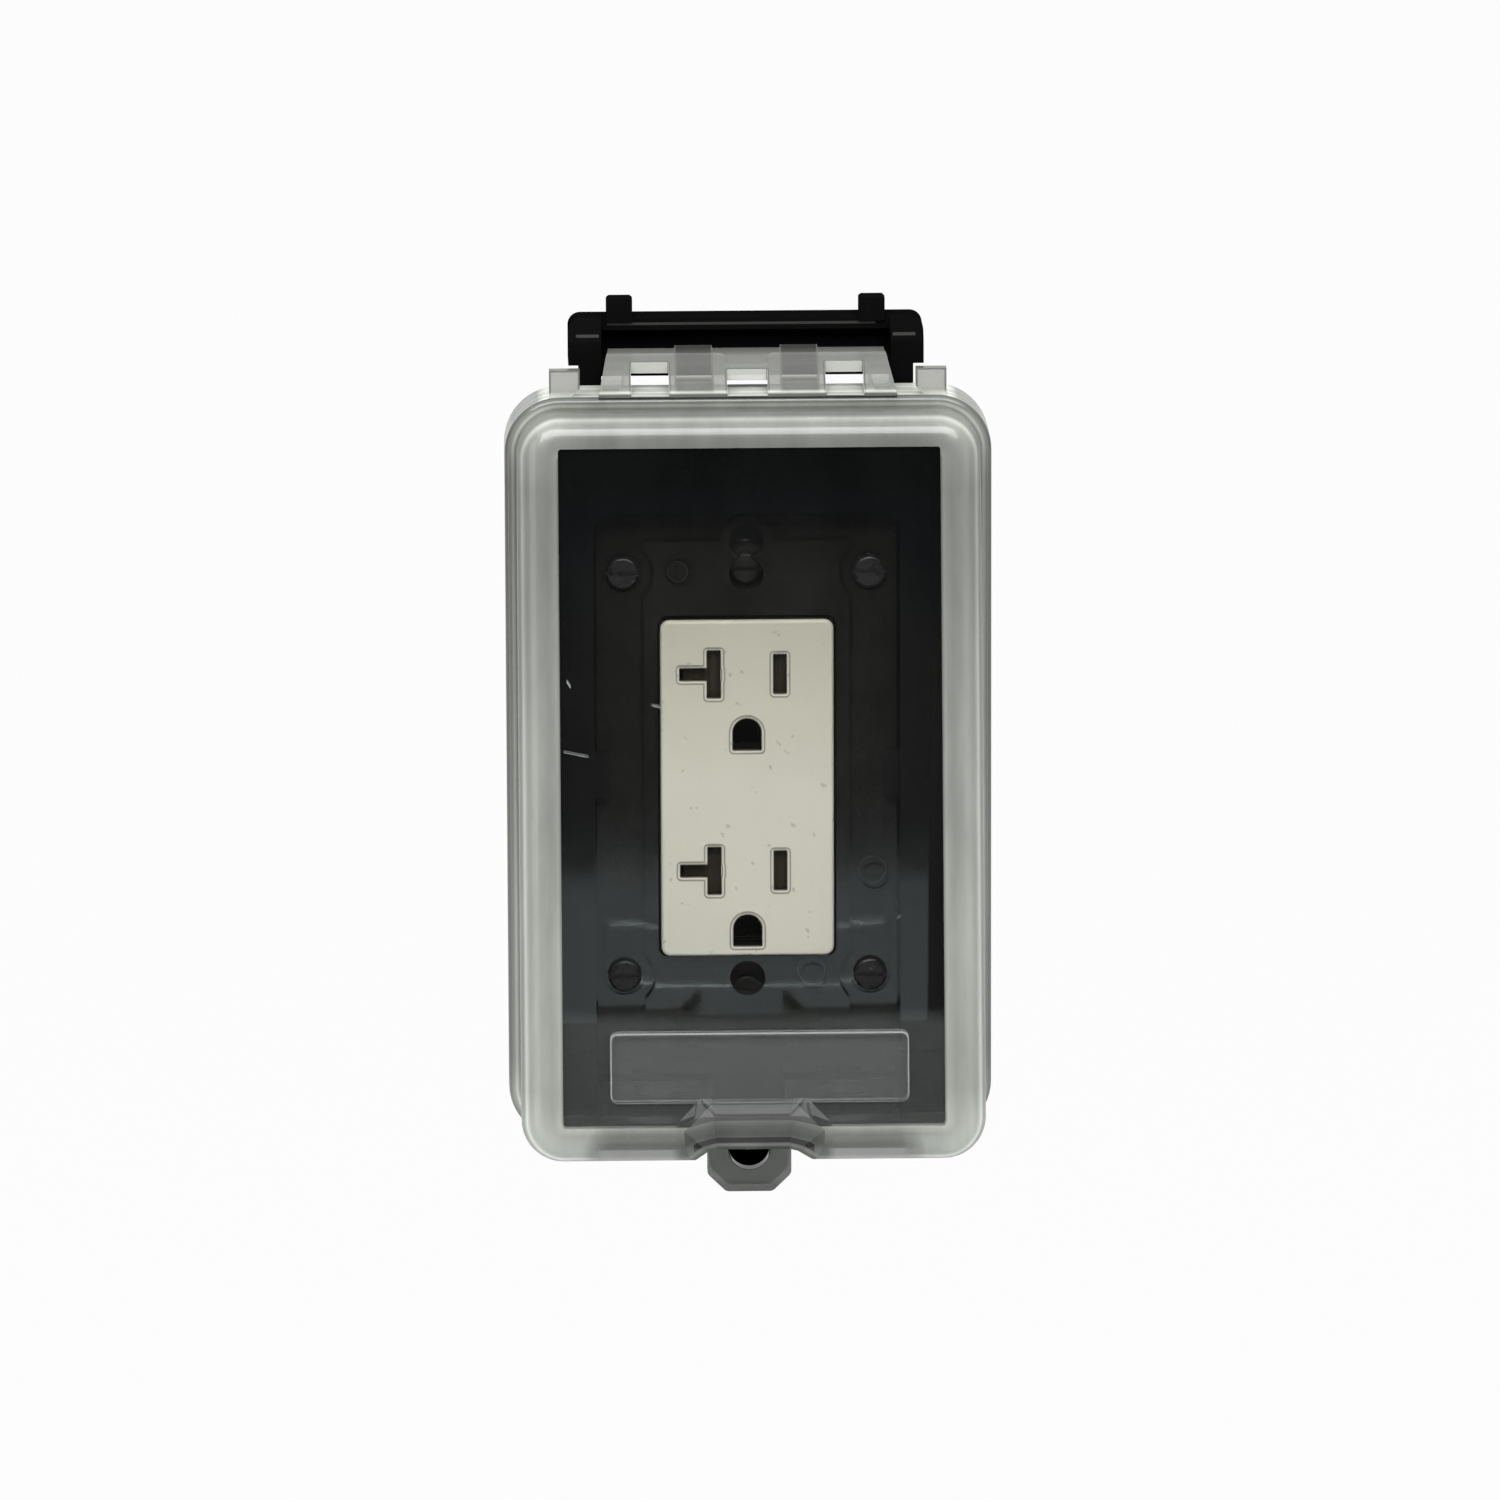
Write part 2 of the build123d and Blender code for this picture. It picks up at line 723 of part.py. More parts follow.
def adapter_plate():
    """Insert round the receptacle, with a raised island, a keyhole and blank screw places."""
    top = recess_top - adapter_gap
    corner = recess_corner - adapter_gap
    outline = band(2 * (recess_half_width - adapter_gap), adapter_bottom, top, corner)
    block = layer(outline, floor_front, adapter_front)
    island = band(2 * island_half_width, -island_half_height, island_half_height)
    for x, z in corner_screw_places().values():
        island -= Pos(x, z) * Circle(island_scoop_radius)
    island = fillet(island.vertices(), island_fillet)
    groove = offset(island, island_groove_width)
    block -= layer(groove, adapter_front + island_groove_depth, adapter_front - 1)
    block += layer(island, floor_front, island_front)
    ring = Circle(keyhole_radius + keyhole_ring)
    block += layer(Pos(0, wallplate_screw_height) * ring, floor_front, island_front)
    lower_ring = ring - Circle(keyhole_radius + keyhole_ring_gap)
    ring_place = Pos(0, box_screw_spacing / 2)
    block += layer(ring_place * lower_ring, floor_front, island_front - keyhole_ring_rise)
    opening = band(
        face_width + 2 * face_gap,
        -face_height / 2 - face_gap,
        face_height / 2 + face_gap,
        face_corner,
    )
    block -= layer(opening, 0, island_front - 1)
    for height, radius in (
        (wallplate_screw_height, keyhole_radius),
        (box_screw_spacing / 2, keyhole_radius),
        (lower_hole_height, lower_hole_radius),
    ):
        block -= rod(radius, 0, island_front - 1, 0, height)
    for x, z in blank_ring_places:
        groove = Circle(blank_ring_radius) - Circle(blank_ring_radius - blank_ring_groove)
        on_island = abs(x) < island_half_width
        front = island_front if on_island else adapter_front
        block -= layer(Pos(x, z) * groove, front + blank_ring_groove, front - 1)
    seat = adapter_front + corner_seat_depth
    for x, z in corner_screw_places().values():
        block -= rod(corner_screw_hole_radius, 0, island_front - 1, x, z)
        block -= rod(corner_head_radius + corner_seat_gap, seat, island_front - 1, x, z)
    return block


def wall_gasket():
    """Foam sheet between the base and the wall, open round the receptacle."""
    outline = band(
        base_width - 2 * gasket_inset,
        base_bottom + gasket_inset,
        base_top - gasket_inset,
        base_corner - gasket_inset,
    )
    hole_end = yoke_half_height + gasket_end_gap
    hole = band(floor_opening_width, -hole_end, hole_end, recess_corner)
    sheet = layer(outline - hole, 0, -gasket_thickness)
    for x, z in corner_screw_places().values():
        sheet -= rod(corner_screw_hole_radius, 1, -gasket_thickness - 1, x, z)
    return sheet


def cord_gate(side):
    """Soft gate in a cord exit: a web in the rim's notch, flanges, a cord hole and a tear slit."""
    length = rim_stand_off - gate_back_stand_off
    middle = -(rim_stand_off + gate_back_stand_off) / 2
    web = Rectangle(gate_width, length)
    inner_face = base_bottom + rim_wall
    plate = pillar(Pos(side * gate_centre, middle) * web, base_bottom, inner_face)
    wide = Rectangle(gate_width + 2 * gate_flange, length)
    flange = Pos(side * gate_centre, middle) * wide
    plate += pillar(flange, inner_face, inner_face + gate_flange_thickness)
    hole = Pos(side * gate_centre, -cord_hole_stand_off) * Circle(cord_hole_radius)
    slit_length = rim_stand_off - cord_hole_stand_off + 1
    slit = Pos(side * gate_centre, -cord_hole_stand_off - slit_length / 2) * Rectangle(
        cord_slit, slit_length
    )
    top = inner_face + gate_flange_thickness
    plate -= pillar(hole, base_bottom - 1, top + 1)
    return plate - pillar(slit, base_bottom - 1, top - cord_membrane)


def slotted_screw(radius, length, head_radius, head_thickness, seat, x, z):
    """Screw along Y with a low slotted head, a thinner neck up to the wall and its thread behind."""
    head = rod(head_radius, seat, seat - head_thickness, x, z)
    head = fillet(head.faces().sort_by(Axis.Y)[0].edges(), head_thickness / 2)
    slot = Pos(x, z) * Rectangle(2 * head_radius, screw_slot_width)
    head -= layer(slot, seat - head_thickness + screw_slot_depth, seat - head_thickness - 1)
    return head + rod(screw_neck_radius, 0, seat, x, z) + rod(radius, seat + length, 0, x, z)


def ground_slot_outline(grow=0.0):
    """Round-topped slot of the earth pin, centred on its own middle."""
    half = ground_slot_width / 2 + grow
    low = -ground_slot_height / 2 - grow
    centre = ground_slot_height / 2 - ground_slot_width / 2
    return Pos(0, centre) * Circle(half) + Pos(0, (low + centre) / 2) * Rectangle(2 * half, centre - low)


def outlet_slots(blade_height, grow=0.0):
    """The three openings of one outlet, grown all round for their rims."""
    neutral = Pos(-blade_half, blade_height) * Rectangle(
        neutral_slot_width + 2 * grow, neutral_slot_height + 2 * grow
    )
    leg_centre = -blade_half - neutral_slot_width / 2 - neutral_leg_length / 2
    neutral += Pos(leg_centre, blade_height) * Rectangle(
        neutral_leg_length + 2 * grow, neutral_leg_height + 2 * grow
    )
    hot = Pos(blade_half, blade_height) * Rectangle(hot_slot_width + 2 * grow, hot_slot_height + 2 * grow)
    ground = Pos(0, blade_height - ground_below_blades) * ground_slot_outline(grow)
    return neutral + hot + ground


def receptacle_face():
    """Off-white front moulding with the two outlets' openings and screw bosses behind."""
    block = layer(
        band(face_width, -face_height / 2, face_height / 2, face_corner), face_back, -face_stand_off
    )
    block = fillet(block.faces().sort_by(Axis.Y)[0].edges(), face_edge_radius)
    inside = band(
        face_width - 2 * face_wall,
        -face_height / 2 + face_wall,
        face_height / 2 - face_wall,
        face_corner - face_wall,
    )
    block -= layer(inside, 0, -face_stand_off + face_thickness)
    for height in outlet_heights:
        block -= layer(outlet_slots(height), 0, -face_stand_off - 1)
        rim = outlet_slots(height, slot_rim)
        block -= layer(rim, -face_stand_off + slot_rim_depth, -face_stand_off - 1)
        inner_face = -face_stand_off + face_thickness
        bottom = height - shutter_half_height - spring_gap
        post = Pos(spring_post_right - spring_post_width / 2, 0) * band(
            spring_post_width, bottom - spring_height - spring_gap, bottom
        )
        block += layer(post, inner_face + guide_depth, inner_face - 1)
        top = height + shutter_half_height + spring_gap
        guide = band(2 * guide_half_width, top, top + guide_height)
        block += layer(guide, inner_face + guide_depth, inner_face - 1)
    for side in FACING.values():
        x = side * housing_screw_x
        block += rod(housing_boss_radius, face_back, -face_stand_off + face_thickness, x, housing_screw_z)
        block -= rod(
            housing_screw_radius, 0, -face_stand_off + face_thickness + 1, x, housing_screw_z
        )
    return block


def receptacle_body():
    """Back housing in the wall box, with partitions between the live sides and the ground."""
    outline = band(body_width, -body_height / 2, body_height / 2, body_corner)
    block = layer(outline, body_depth, 0)
    block = fillet(block.faces().sort_by(Axis.Y)[-1].edges(), body_wall)
    inside = band(
        body_width - 2 * body_wall,
        -body_height / 2 + body_wall,
        body_height / 2 - body_wall,
        body_corner - body_wall,
    )
    block -= layer(inside, body_depth - body_wall, -1)
    for side in FACING.values():
        wall = Pos(side * (body_partition_gap + body_partition_thickness / 2), 0) * Rectangle(
            body_partition_thickness, body_height - body_wall
        )
        block += layer(wall, body_depth - 1, 0.5)
        x = side * housing_screw_x
        block += rod(housing_boss_radius, body_depth - 1, 0, x, housing_screw_z)
        block -= rod(
            housing_screw_radius + terminal_clearance, body_depth + 1, -1, x, housing_screw_z
        )
        for row in (-1, 1):
            half = clamp_size / 2 + clamp_notch_gap
            notch = corners(
                (-1, -half),
                (terminal_stand_back + half, -half),
                (terminal_stand_back + half, half),
                (-1, half),
            )
            edge = side * (body_width / 2)
            place = Pos(0, row * terminal_height)
            block -= side_cut(place * notch, edge - body_wall - 0.2, edge + body_wall + 0.2)
    return block


def mounting_yoke():
    """Flat steel strap between face and body, with ears for the box screws."""
    plate_end = face_height / 2 + yoke_plate_end
    middle = band(face_width + 2 * yoke_plate_side, -plate_end, plate_end, yoke_plate_corner)
    ears = band(2 * yoke_ear_half_width, -yoke_half_height, yoke_half_height, yoke_ear_corner)
    windows = band(2 * yoke_window_half_width, -yoke_window_half_height, yoke_window_half_height)
    windows -= Rectangle(2 * yoke_bar_half_width, 2 * yoke_half_height)
    strap = layer(middle + ears - windows, 0, -yoke_thickness)
    for height in outlet_heights:
        ground = Pos(0, height - ground_below_blades) * ground_slot_outline(slot_rim)
        strap -= layer(ground, 1, -yoke_thickness - 1)
    for side in FACING.values():
        strap -= rod(
            box_screw_radius + terminal_clearance,
            1,
            -yoke_thickness - 1,
            0,
            side * box_screw_spacing / 2,
        )
        strap -= rod(wallplate_hole_radius, 1, -yoke_thickness - 1, 0, side * wallplate_screw_spacing / 2)
    left = -yoke_ear_half_width
    tab = Pos(left + yoke_thickness / 2, ground_tab_bottom + ground_tab_height / 2) * Rectangle(
        yoke_thickness, ground_tab_height
    )
    strap += layer(tab, ground_tab_depth, -yoke_thickness)
    strap -= cross_rod(
        terminal_screw_radius + terminal_clearance,
        left - 1,
        left + yoke_thickness + 1,
        ground_tab_depth / 2,
        ground_tab_bottom + ground_tab_height / 2,
    )
    return strap


def leaf_pair(centre, gap, half_height, z, front, back):
    """Two upright leaves that grip a blade, one on each side of it."""
    pair = None
    for side in FACING.values():
        x = centre + side * (gap + leaf_thickness) / 2
        leaf = layer(Pos(x, z) * Rectangle(leaf_thickness, 2 * half_height), back, front)
        pair = leaf if pair is None else pair + leaf
    return pair


def live_contact(side):
    """Brass strip along one side of the body, with a clip behind each blade slot."""
    inner_wall = body_width / 2 - body_wall
    spine_x = side * (inner_wall - contact_sheet / 2)
    top = outlet_heights[0] + spine_half_margin
    bottom = outlet_heights[1] - spine_half_margin
    strip = Pos(spine_x, 0) * band(contact_sheet, bottom, top)
    contact = layer(strip, contact_back, contact_front)
    for height in outlet_heights:
        contact += leaf_pair(
            side * blade_half, blade_gap, clip_half_height, height, contact_front, contact_back
        )
        inner = blade_half - blade_gap / 2 - leaf_thickness
        web = Pos(side * (inner + inner_wall) / 2, height) * Rectangle(
            inner_wall - inner, 2 * clip_half_height
        )
        contact += layer(web, contact_back, contact_back - contact_sheet)
    for row in (-1, 1):
        contact -= cross_rod(
            terminal_screw_radius + terminal_clearance,
            spine_x - contact_sheet,
            spine_x + contact_sheet,
            terminal_stand_back,
            row * terminal_height,
        )
    return contact


def ground_contact():
    """Strip behind the yoke's bar, with a pair of leaves behind each earth slot."""
    centres = [height - ground_below_blades for height in outlet_heights]
    half = ground_gap / 2 + leaf_thickness
    top = centres[0] + ground_margin
    bottom = centres[1] - ground_margin
    contact = layer(band(2 * half, bottom, top), ground_back, ground_back - contact_sheet)
    for z in centres:
        contact += leaf_pair(0, ground_gap, ground_slot_height / 2 - slot_rim, z, 1, ground_back)
    for z in (top - contact_sheet / 2, bottom + contact_sheet / 2):
        leg = Pos(0, z) * Rectangle(2 * half, contact_sheet)
        contact += layer(leg, ground_back, 0)
    return contact


def wire_clamp(side, row):
    """Square plate between a terminal screw's head and the contact."""
    inner = side * (body_width / 2 - body_wall)
    outer = inner + side * clamp_thickness
    half = clamp_size / 2
    plate = Pos(terminal_stand_back, row * terminal_height) * Rectangle(2 * half, 2 * half)
    block = side_cut(plate, min(inner, outer), max(inner, outer))
    block -= cross_rod(
        terminal_screw_radius + terminal_clearance,
        min(inner, outer) - 1,
        max(inner, outer) + 1,
        terminal_stand_back,
        row * terminal_height,
    )
    return block


def side_screw(side, seat, length, y, z):
    """Slotted terminal screw along X, with its head outside its seat."""
    head_end = seat + side * terminal_head_thickness
    head = cross_rod(terminal_head_radius, min(seat, head_end), max(seat, head_end), y, z)
    slot = Pos(y, z) * Rectangle(2 * terminal_head_radius, screw_slot_width)
    slot_start = head_end - side * screw_slot_depth
    head -= side_cut(slot, min(slot_start, head_end + side), max(slot_start, head_end + side))
    tip = seat - side * length
    return head + cross_rod(terminal_screw_radius, min(seat, tip), max(seat, tip), y, z)


def shutter_slats(blade_height):
    """Sliding plate of one outlet: two fingers behind the blade slots, joined by a bar."""
    bottom = blade_height - shutter_half_height
    top = blade_height + shutter_half_height
    neutral_right = blade_half - neutral_slot_width / 2 - shutter_slot_gap
    hot_left = blade_half - hot_slot_width / 2 - shutter_slot_gap
    outline = corners(
        (-shutter_left, top),
        (-neutral_right, top),
        (-neutral_right, bottom + shutter_bar_height),
        (hot_left, bottom + shutter_bar_height),
        (hot_left, top),
        (shutter_right, top),
        (shutter_right, bottom),
        (-shutter_left, bottom),
    )
    lug_low = bottom - spring_height - 2 * spring_gap
    lug = corners(
        (shutter_right - shutter_lug, bottom + 0.2),
        (shutter_right, bottom + 0.2),
        (shutter_right, lug_low),
        (shutter_right - shutter_lug, lug_low),
    )
    return layer(outline + lug, shutter_front + shutter_thickness, shutter_front)


def shutter_spring(blade_height):
    """Folded leaf between the shutter's lug and the edge of the neutral side."""
    right = shutter_right - shutter_lug
    step = (right - spring_post_right) / spring_folds
    low = blade_height - shutter_half_height - spring_height - spring_gap
    reach = spring_height - spring_leaf
    lower = []
    upper = []
    for fold in range(spring_folds + 1):
        z = low + (reach if fold % 2 else 0.0)
        lower.append((spring_post_right + fold * step, z))
        upper.append((spring_post_right + fold * step, z + spring_leaf))
    outline = corners(*lower, *reversed(upper))
    return layer(outline, shutter_front + spring_depth, shutter_front)


def receptacle_hardware():
    """Screws, clamps, contacts and shutters of the receptacle, by piece name."""
    pieces = {
        "hot_contact": live_contact(FACING["right"]),
        "neutral_contact": live_contact(FACING["left"]),
        "ground_contact": ground_contact(),
    }
    inner_wall = body_width / 2 - body_wall
    for polarity, side in (("hot", 1), ("neutral", -1)):
        for level, row in (("upper", 1), ("lower", -1)):
            pieces[f"{polarity}_clamp_{level}"] = wire_clamp(side, row)
            seat = side * (inner_wall + clamp_thickness)
            pieces[f"{polarity}_screw_{level}"] = side_screw(
                side, seat, clamp_thickness + 2 * contact_sheet, terminal_stand_back, row * terminal_height
            )
    pieces["ground_screw"] = side_screw(
        -1,
        -yoke_ear_half_width,
        yoke_thickness + 2,
        ground_tab_depth / 2,
        ground_tab_bottom + ground_tab_height / 2,
    )
    for name, side in FACING.items():
        x = side * housing_screw_x
        tip = -face_stand_off + face_thickness + 1.5
        screw = rod(housing_screw_radius, body_depth, tip, x, housing_screw_z)
        screw += rod(
            housing_head_radius, body_depth + housing_head_thickness, body_depth, x, housing_screw_z
        )
        pieces[f"housing_screw_{name}"] = screw
    for name, side in (("upper", 1), ("lower", -1)):
        pieces[f"box_screw_{name}"] = slotted_screw(
            box_screw_radius,
            box_screw_length + yoke_thickness,
            box_head_radius,
            box_head_thickness,
            -yoke_thickness,
            0,
            side * box_screw_spacing / 2,
        )
    for name, height in zip(("upper", "lower"), outlet_heights):
        pieces[f"shutter_{name}"] = shutter_slats(height)
        pieces[f"shutter_spring_{name}"] = shutter_spring(height)
    return pieces


def all_pieces():
    """Every piece of the cover and its receptacle, by name."""
    pieces = {
        "base": base(),
        "lid": lid(),
        "adapter_plate": adapter_plate(),
        "wall_gasket": wall_gasket(),
        "receptacle_face": receptacle_face(),
        "receptacle_body": receptacle_body(),
        "mounting_yoke": mounting_yoke(),
    }
    for name, side in FACING.items():
        pieces[f"cord_gate_{name}"] = cord_gate(side)
    for name, (x, z) in corner_screw_places().items():
        pieces[f"corner_screw_{name}"] = slotted_screw(
            corner_screw_radius,
            corner_screw_length - adapter_front - corner_seat_depth,
            corner_head_radius,
            corner_head_thickness,
            adapter_front + corner_seat_depth,
            x,
            z,
        )
    pieces.update(receptacle_hardware())
    return pieces


os.makedirs("parts", exist_ok=True)
for piece_name, piece in all_pieces().items():
    export_step(piece, f"parts/{piece_name}.step")
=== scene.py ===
from functools import partial
from math import cos, radians, sin

import bpy
import numpy as np
from mathutils import Matrix, Vector


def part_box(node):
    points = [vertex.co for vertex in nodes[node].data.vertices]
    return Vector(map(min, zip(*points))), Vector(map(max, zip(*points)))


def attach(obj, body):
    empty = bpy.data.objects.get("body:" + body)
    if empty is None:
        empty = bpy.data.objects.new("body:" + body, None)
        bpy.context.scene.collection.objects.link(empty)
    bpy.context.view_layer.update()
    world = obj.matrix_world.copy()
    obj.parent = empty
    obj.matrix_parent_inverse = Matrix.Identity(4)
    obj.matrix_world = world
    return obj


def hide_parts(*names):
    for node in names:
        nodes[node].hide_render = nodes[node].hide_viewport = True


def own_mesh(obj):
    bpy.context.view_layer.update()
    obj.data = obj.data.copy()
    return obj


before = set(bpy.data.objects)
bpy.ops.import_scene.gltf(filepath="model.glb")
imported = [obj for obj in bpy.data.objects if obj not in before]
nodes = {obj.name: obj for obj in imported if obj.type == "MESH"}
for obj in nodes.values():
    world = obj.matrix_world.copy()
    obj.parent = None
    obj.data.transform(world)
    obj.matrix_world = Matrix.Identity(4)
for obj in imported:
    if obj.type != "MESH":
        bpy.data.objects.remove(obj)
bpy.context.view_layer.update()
scene = bpy.context.scene
print("frame loaded:", len(nodes), "nodes")

# Camera: a long lens a little above and to the left of straight on

cameraView = {
    "azimuth": -1.4,       # degrees, to the left of straight on
    "elevation": 12.0,
    "roll": -0.2,
    "distance": 2.4,
    "lens": 302.0,         # millimetres, as the sensor's width
    "sensor": 36.0,
    "clip": (0.05, 50.0),
    "target": (0.00014, -0.027, 0.0111),
}


def makeCamera(view):
    data = bpy.data.cameras.new("camera")
    data.lens = view["lens"]
    data.sensor_width = view["sensor"]
    data.clip_start, data.clip_end = view["clip"]
    camera = bpy.data.objects.new("camera", data)
    scene.collection.objects.link(camera)
    a, e = radians(view["azimuth"]), radians(view["elevation"])
    away = Vector((sin(a) * cos(e), -cos(a) * cos(e), sin(e)))
    camera.location = Vector(view["target"]) + away * view["distance"]
    turn = (-away).to_track_quat("-Z", "Y").to_matrix()
    roll = Matrix.Rotation(radians(view["roll"]), 3, "Z")
    camera.rotation_euler = (turn @ roll).to_euler()
    scene.camera = camera


makeCamera(cameraView)

# Light: soft boxes and a white sweep, at a level where colours render about as written

soft = {  # place, aim, width, height, power in watts, colour
    "overhead": ((0.0, -0.50, 1.35), (0.0, 0.0, 0.02), 2.4, 1.5, 32.0, (1.0, 1.0, 0.99)),
    "left": ((-1.35, -1.05, 0.30), (0.0, 0.0, 0.0), 0.8, 1.4, 7.0, (1.0, 1.0, 0.985)),
    "right": ((1.35, -1.05, 0.30), (0.0, 0.0, 0.0), 0.8, 1.4, 3.2, (1.0, 1.0, 0.985)),
    "front": ((0.0, -1.8, 1.55), (0.0, 0.0, 0.0), 2.4, 1.1, 78.0, (1.0, 1.0, 0.99)),
}


def makeLamp(name, place, aim, width, height, power, colour):
    data = bpy.data.lights.new(name, "AREA")
    data.shape = "RECTANGLE"
    data.size, data.size_y = width, height
    data.energy = power
    data.color = colour
    lamp = bpy.data.objects.new(name, data)
    lamp.location = place
    lamp.rotation_euler = (Vector(aim) - Vector(place)).to_track_quat("-Z", "Y").to_euler()
    scene.collection.objects.link(lamp)


for name, values in soft.items():
    makeLamp(name, *values)

surroundings = {
    "front": 0.028,   # the room on the camera's side
    "back": 0.44,     # the light that the sweep throws on the object
    "backFrom": (-0.35, 0.35),     # the direction's Y at which the room turns into it
    "sweep": 0.786,   # the sweep as it is seen in gloss and through clear plastic
    "sweepFrom": (0.0, 0.5),
    "white": 0.983,   # the sweep as the camera sees it
}


def calculator(add, link):
    # returns a function that adds one Math node: an operation on sockets or plain numbers
    def calc(operation, a, b=None, c=None):
        node = add("ShaderNodeMath")
        node.operation = operation
        for socket, value in zip(node.inputs, (a, b, c)):
            if value is None:
                continue
            if isinstance(value, (int, float)):
                socket.default_value = value
            else:
                link(value, socket)
        return node.outputs[0]
    return calc


def mixShaders(add, link, factor, first, second):
    # factor is a socket or a plain number
    mix = add("ShaderNodeMixShader")
    if isinstance(factor, float):
        mix.inputs[0].default_value = factor
    else:
        link(factor, mix.inputs[0])
    link(first, mix.inputs[1])
    link(second, mix.inputs[2])
    return mix.outputs[0]


def seenDirectly(add, link):
    # 1 for rays from the camera, off gloss and through clear pieces, 0 for soft light
    calc = calculator(add, link)
    rays = add("ShaderNodeLightPath").outputs
    first = calc("MAXIMUM", rays["Is Camera Ray"], rays["Is Glossy Ray"])
    return calc("MAXIMUM", first, rays["Is Transmission Ray"])


def ground(add, strength):
    made = add("ShaderNodeBackground")
    made.inputs["Color"].default_value = (1, 1, 1, 1)
    made.inputs["Strength"].default_value = strength
    return made


def turningGround(add, link, direction, turn, levels):
    # one level in front and another behind, with a smooth change between
    ramp = add("ShaderNodeMapRange")
    ramp.interpolation_type = "SMOOTHSTEP"
    ramp.inputs["From Min"].default_value, ramp.inputs["From Max"].default_value = turn
    ramp.inputs["To Min"].default_value, ramp.inputs["To Max"].default_value = levels
    link(direction, ramp.inputs["Value"])
    made = ground(add, 1.0)
    link(ramp.outputs[0], made.inputs["Strength"])
    return made.outputs[0]


def makeWorld(values):
    world = bpy.data.worlds.new("surroundings")
    scene.world = world
    world.use_nodes = True
    tree = world.node_tree
    tree.nodes.clear()
    add, link = tree.nodes.new, tree.links.new
    place = add("ShaderNodeTexCoord")
    split = add("ShaderNodeSeparateXYZ")
    link(place.outputs["Generated"], split.inputs[0])
    front, y = values["front"], split.outputs["Y"]
    back = turningGround(add, link, y, values["backFrom"], (front, values["back"]))
    sweep = turningGround(add, link, y, values["sweepFrom"], (front, values["sweep"]))
    lit = mixShaders(add, link, seenDirectly(add, link), back, sweep)
    # the camera itself always sees the white sweep
    white = ground(add, values["white"])
    rays = add("ShaderNodeLightPath")
    last = mixShaders(add, link, rays.outputs["Is Camera Ray"], lit, white.outputs[0])
    out = add("ShaderNodeOutputWorld")
    link(last, out.inputs[0])


makeWorld(surroundings)
scene.view_settings.view_transform = "Standard"

floorPlate = {  # its front edge shows as a border of light and dark in the black plastic
    "height": -0.40, "front": -1.735, "back": 5.0, "halfWidth": 4.0,
    "colour": (0.78, 0.80, 0.82), "shadowShare": 0.012,
}


def makeFloor(values):
    half, front, back, z = (values[key] for key in ("halfWidth", "front", "back", "height"))
    data = bpy.data.meshes.new("floor")
    corners = [(-half, front, z), (half, front, z), (half, back, z), (-half, back, z)]
    data.from_pydata(corners, [], [(0, 1, 2, 3)])
    floor = bpy.data.objects.new("floor", data)
    scene.collection.objects.link(floor)
    paint = bpy.data.materials.new("floorPaint")
    paint.use_nodes = True
    tree = paint.node_tree
    tree.nodes.clear()
    add, link = tree.nodes.new, tree.links.new
    matt = add("ShaderNodeBsdfDiffuse")
    matt.inputs["Color"].default_value = (*values["colour"], 1)
    glow = add("ShaderNodeEmission")
    glow.inputs["Strength"].default_value = surroundings["white"]
    calc = calculator(add, link)
    share = calc("MULTIPLY", seenDirectly(add, link), 1.0 - values["shadowShare"])
    out = add("ShaderNodeOutputMaterial")
    link(mixShaders(add, link, share, matt.outputs[0], glow.outputs[0]), out.inputs[0])
    data.materials.append(paint)


makeFloor(floorPlate)
print("camera, lamps and floor made")

# Materials: small helpers first, then one dictionary for each finish


def startMaterial(name):
    made = bpy.data.materials.new(name)
    made.use_nodes = True
    made.node_tree.nodes.clear()
    return made, made.node_tree.nodes.new, made.node_tree.links.new


def noise(add, link, place, scale, detail, roughness, stretch=None):
    # noise on the object's own coordinates, stretched along an axis if asked
    source = place.outputs["Object"]
    if stretch:
        mapping = add("ShaderNodeMapping")
        mapping.inputs["Scale"].default_value = stretch
        link(source, mapping.inputs["Vector"])
        source = mapping.outputs[0]
    made = add("ShaderNodeTexNoise")
    made.inputs["Scale"].default_value = scale
    made.inputs["Detail"].default_value = detail
    made.inputs["Roughness"].default_value = roughness
    link(source, made.inputs["Vector"])
    return made.outputs["Fac"]


def spread(add, link, source, low, high, fromLow=0.3, fromHigh=0.7):
    # low where the source is at fromLow, high where it is at fromHigh, and held past them
    ramp = add("ShaderNodeMapRange")
    ramp.inputs["From Min"].default_value = fromLow
    ramp.inputs["From Max"].default_value = fromHigh
    ramp.inputs["To Min"].default_value = low
    ramp.inputs["To Max"].default_value = high
    link(source, ramp.inputs["Value"])
    return ramp.outputs[0]


def blendColour(add, link, factor, first, second):
    # first and second are plain colours or sockets
    mix = add("ShaderNodeMix")
    mix.data_type = "RGBA"
    link(factor, mix.inputs["Factor"])
    for socket, value in (("A", first), ("B", second)):
        if isinstance(value, tuple):
            mix.inputs[socket].default_value = (*value, 1)
        else:
            link(value, mix.inputs[socket])
    return mix.outputs["Result"]


def boxDistance(calc, across, up, middle, half, corner):
    # distance to a rounded rectangle, negative inside: the length of what lies past
    # the shrunk rectangle, plus the smaller inside depth, less the corner
    dx = calc("SUBTRACT", calc("ABSOLUTE", calc("SUBTRACT", across, middle[0])), half[0] - corner)
    dz = calc("SUBTRACT", calc("ABSOLUTE", calc("SUBTRACT", up, middle[1])), half[1] - corner)
    outX, outZ = calc("MAXIMUM", dx, 0.0), calc("MAXIMUM", dz, 0.0)
    away = calc("SQRT", calc("ADD", calc("MULTIPLY", outX, outX), calc("MULTIPLY", outZ, outZ)))
    inner = calc("MINIMUM", calc("MAXIMUM", dx, dz), 0.0)
    return calc("SUBTRACT", calc("ADD", away, inner), corner)


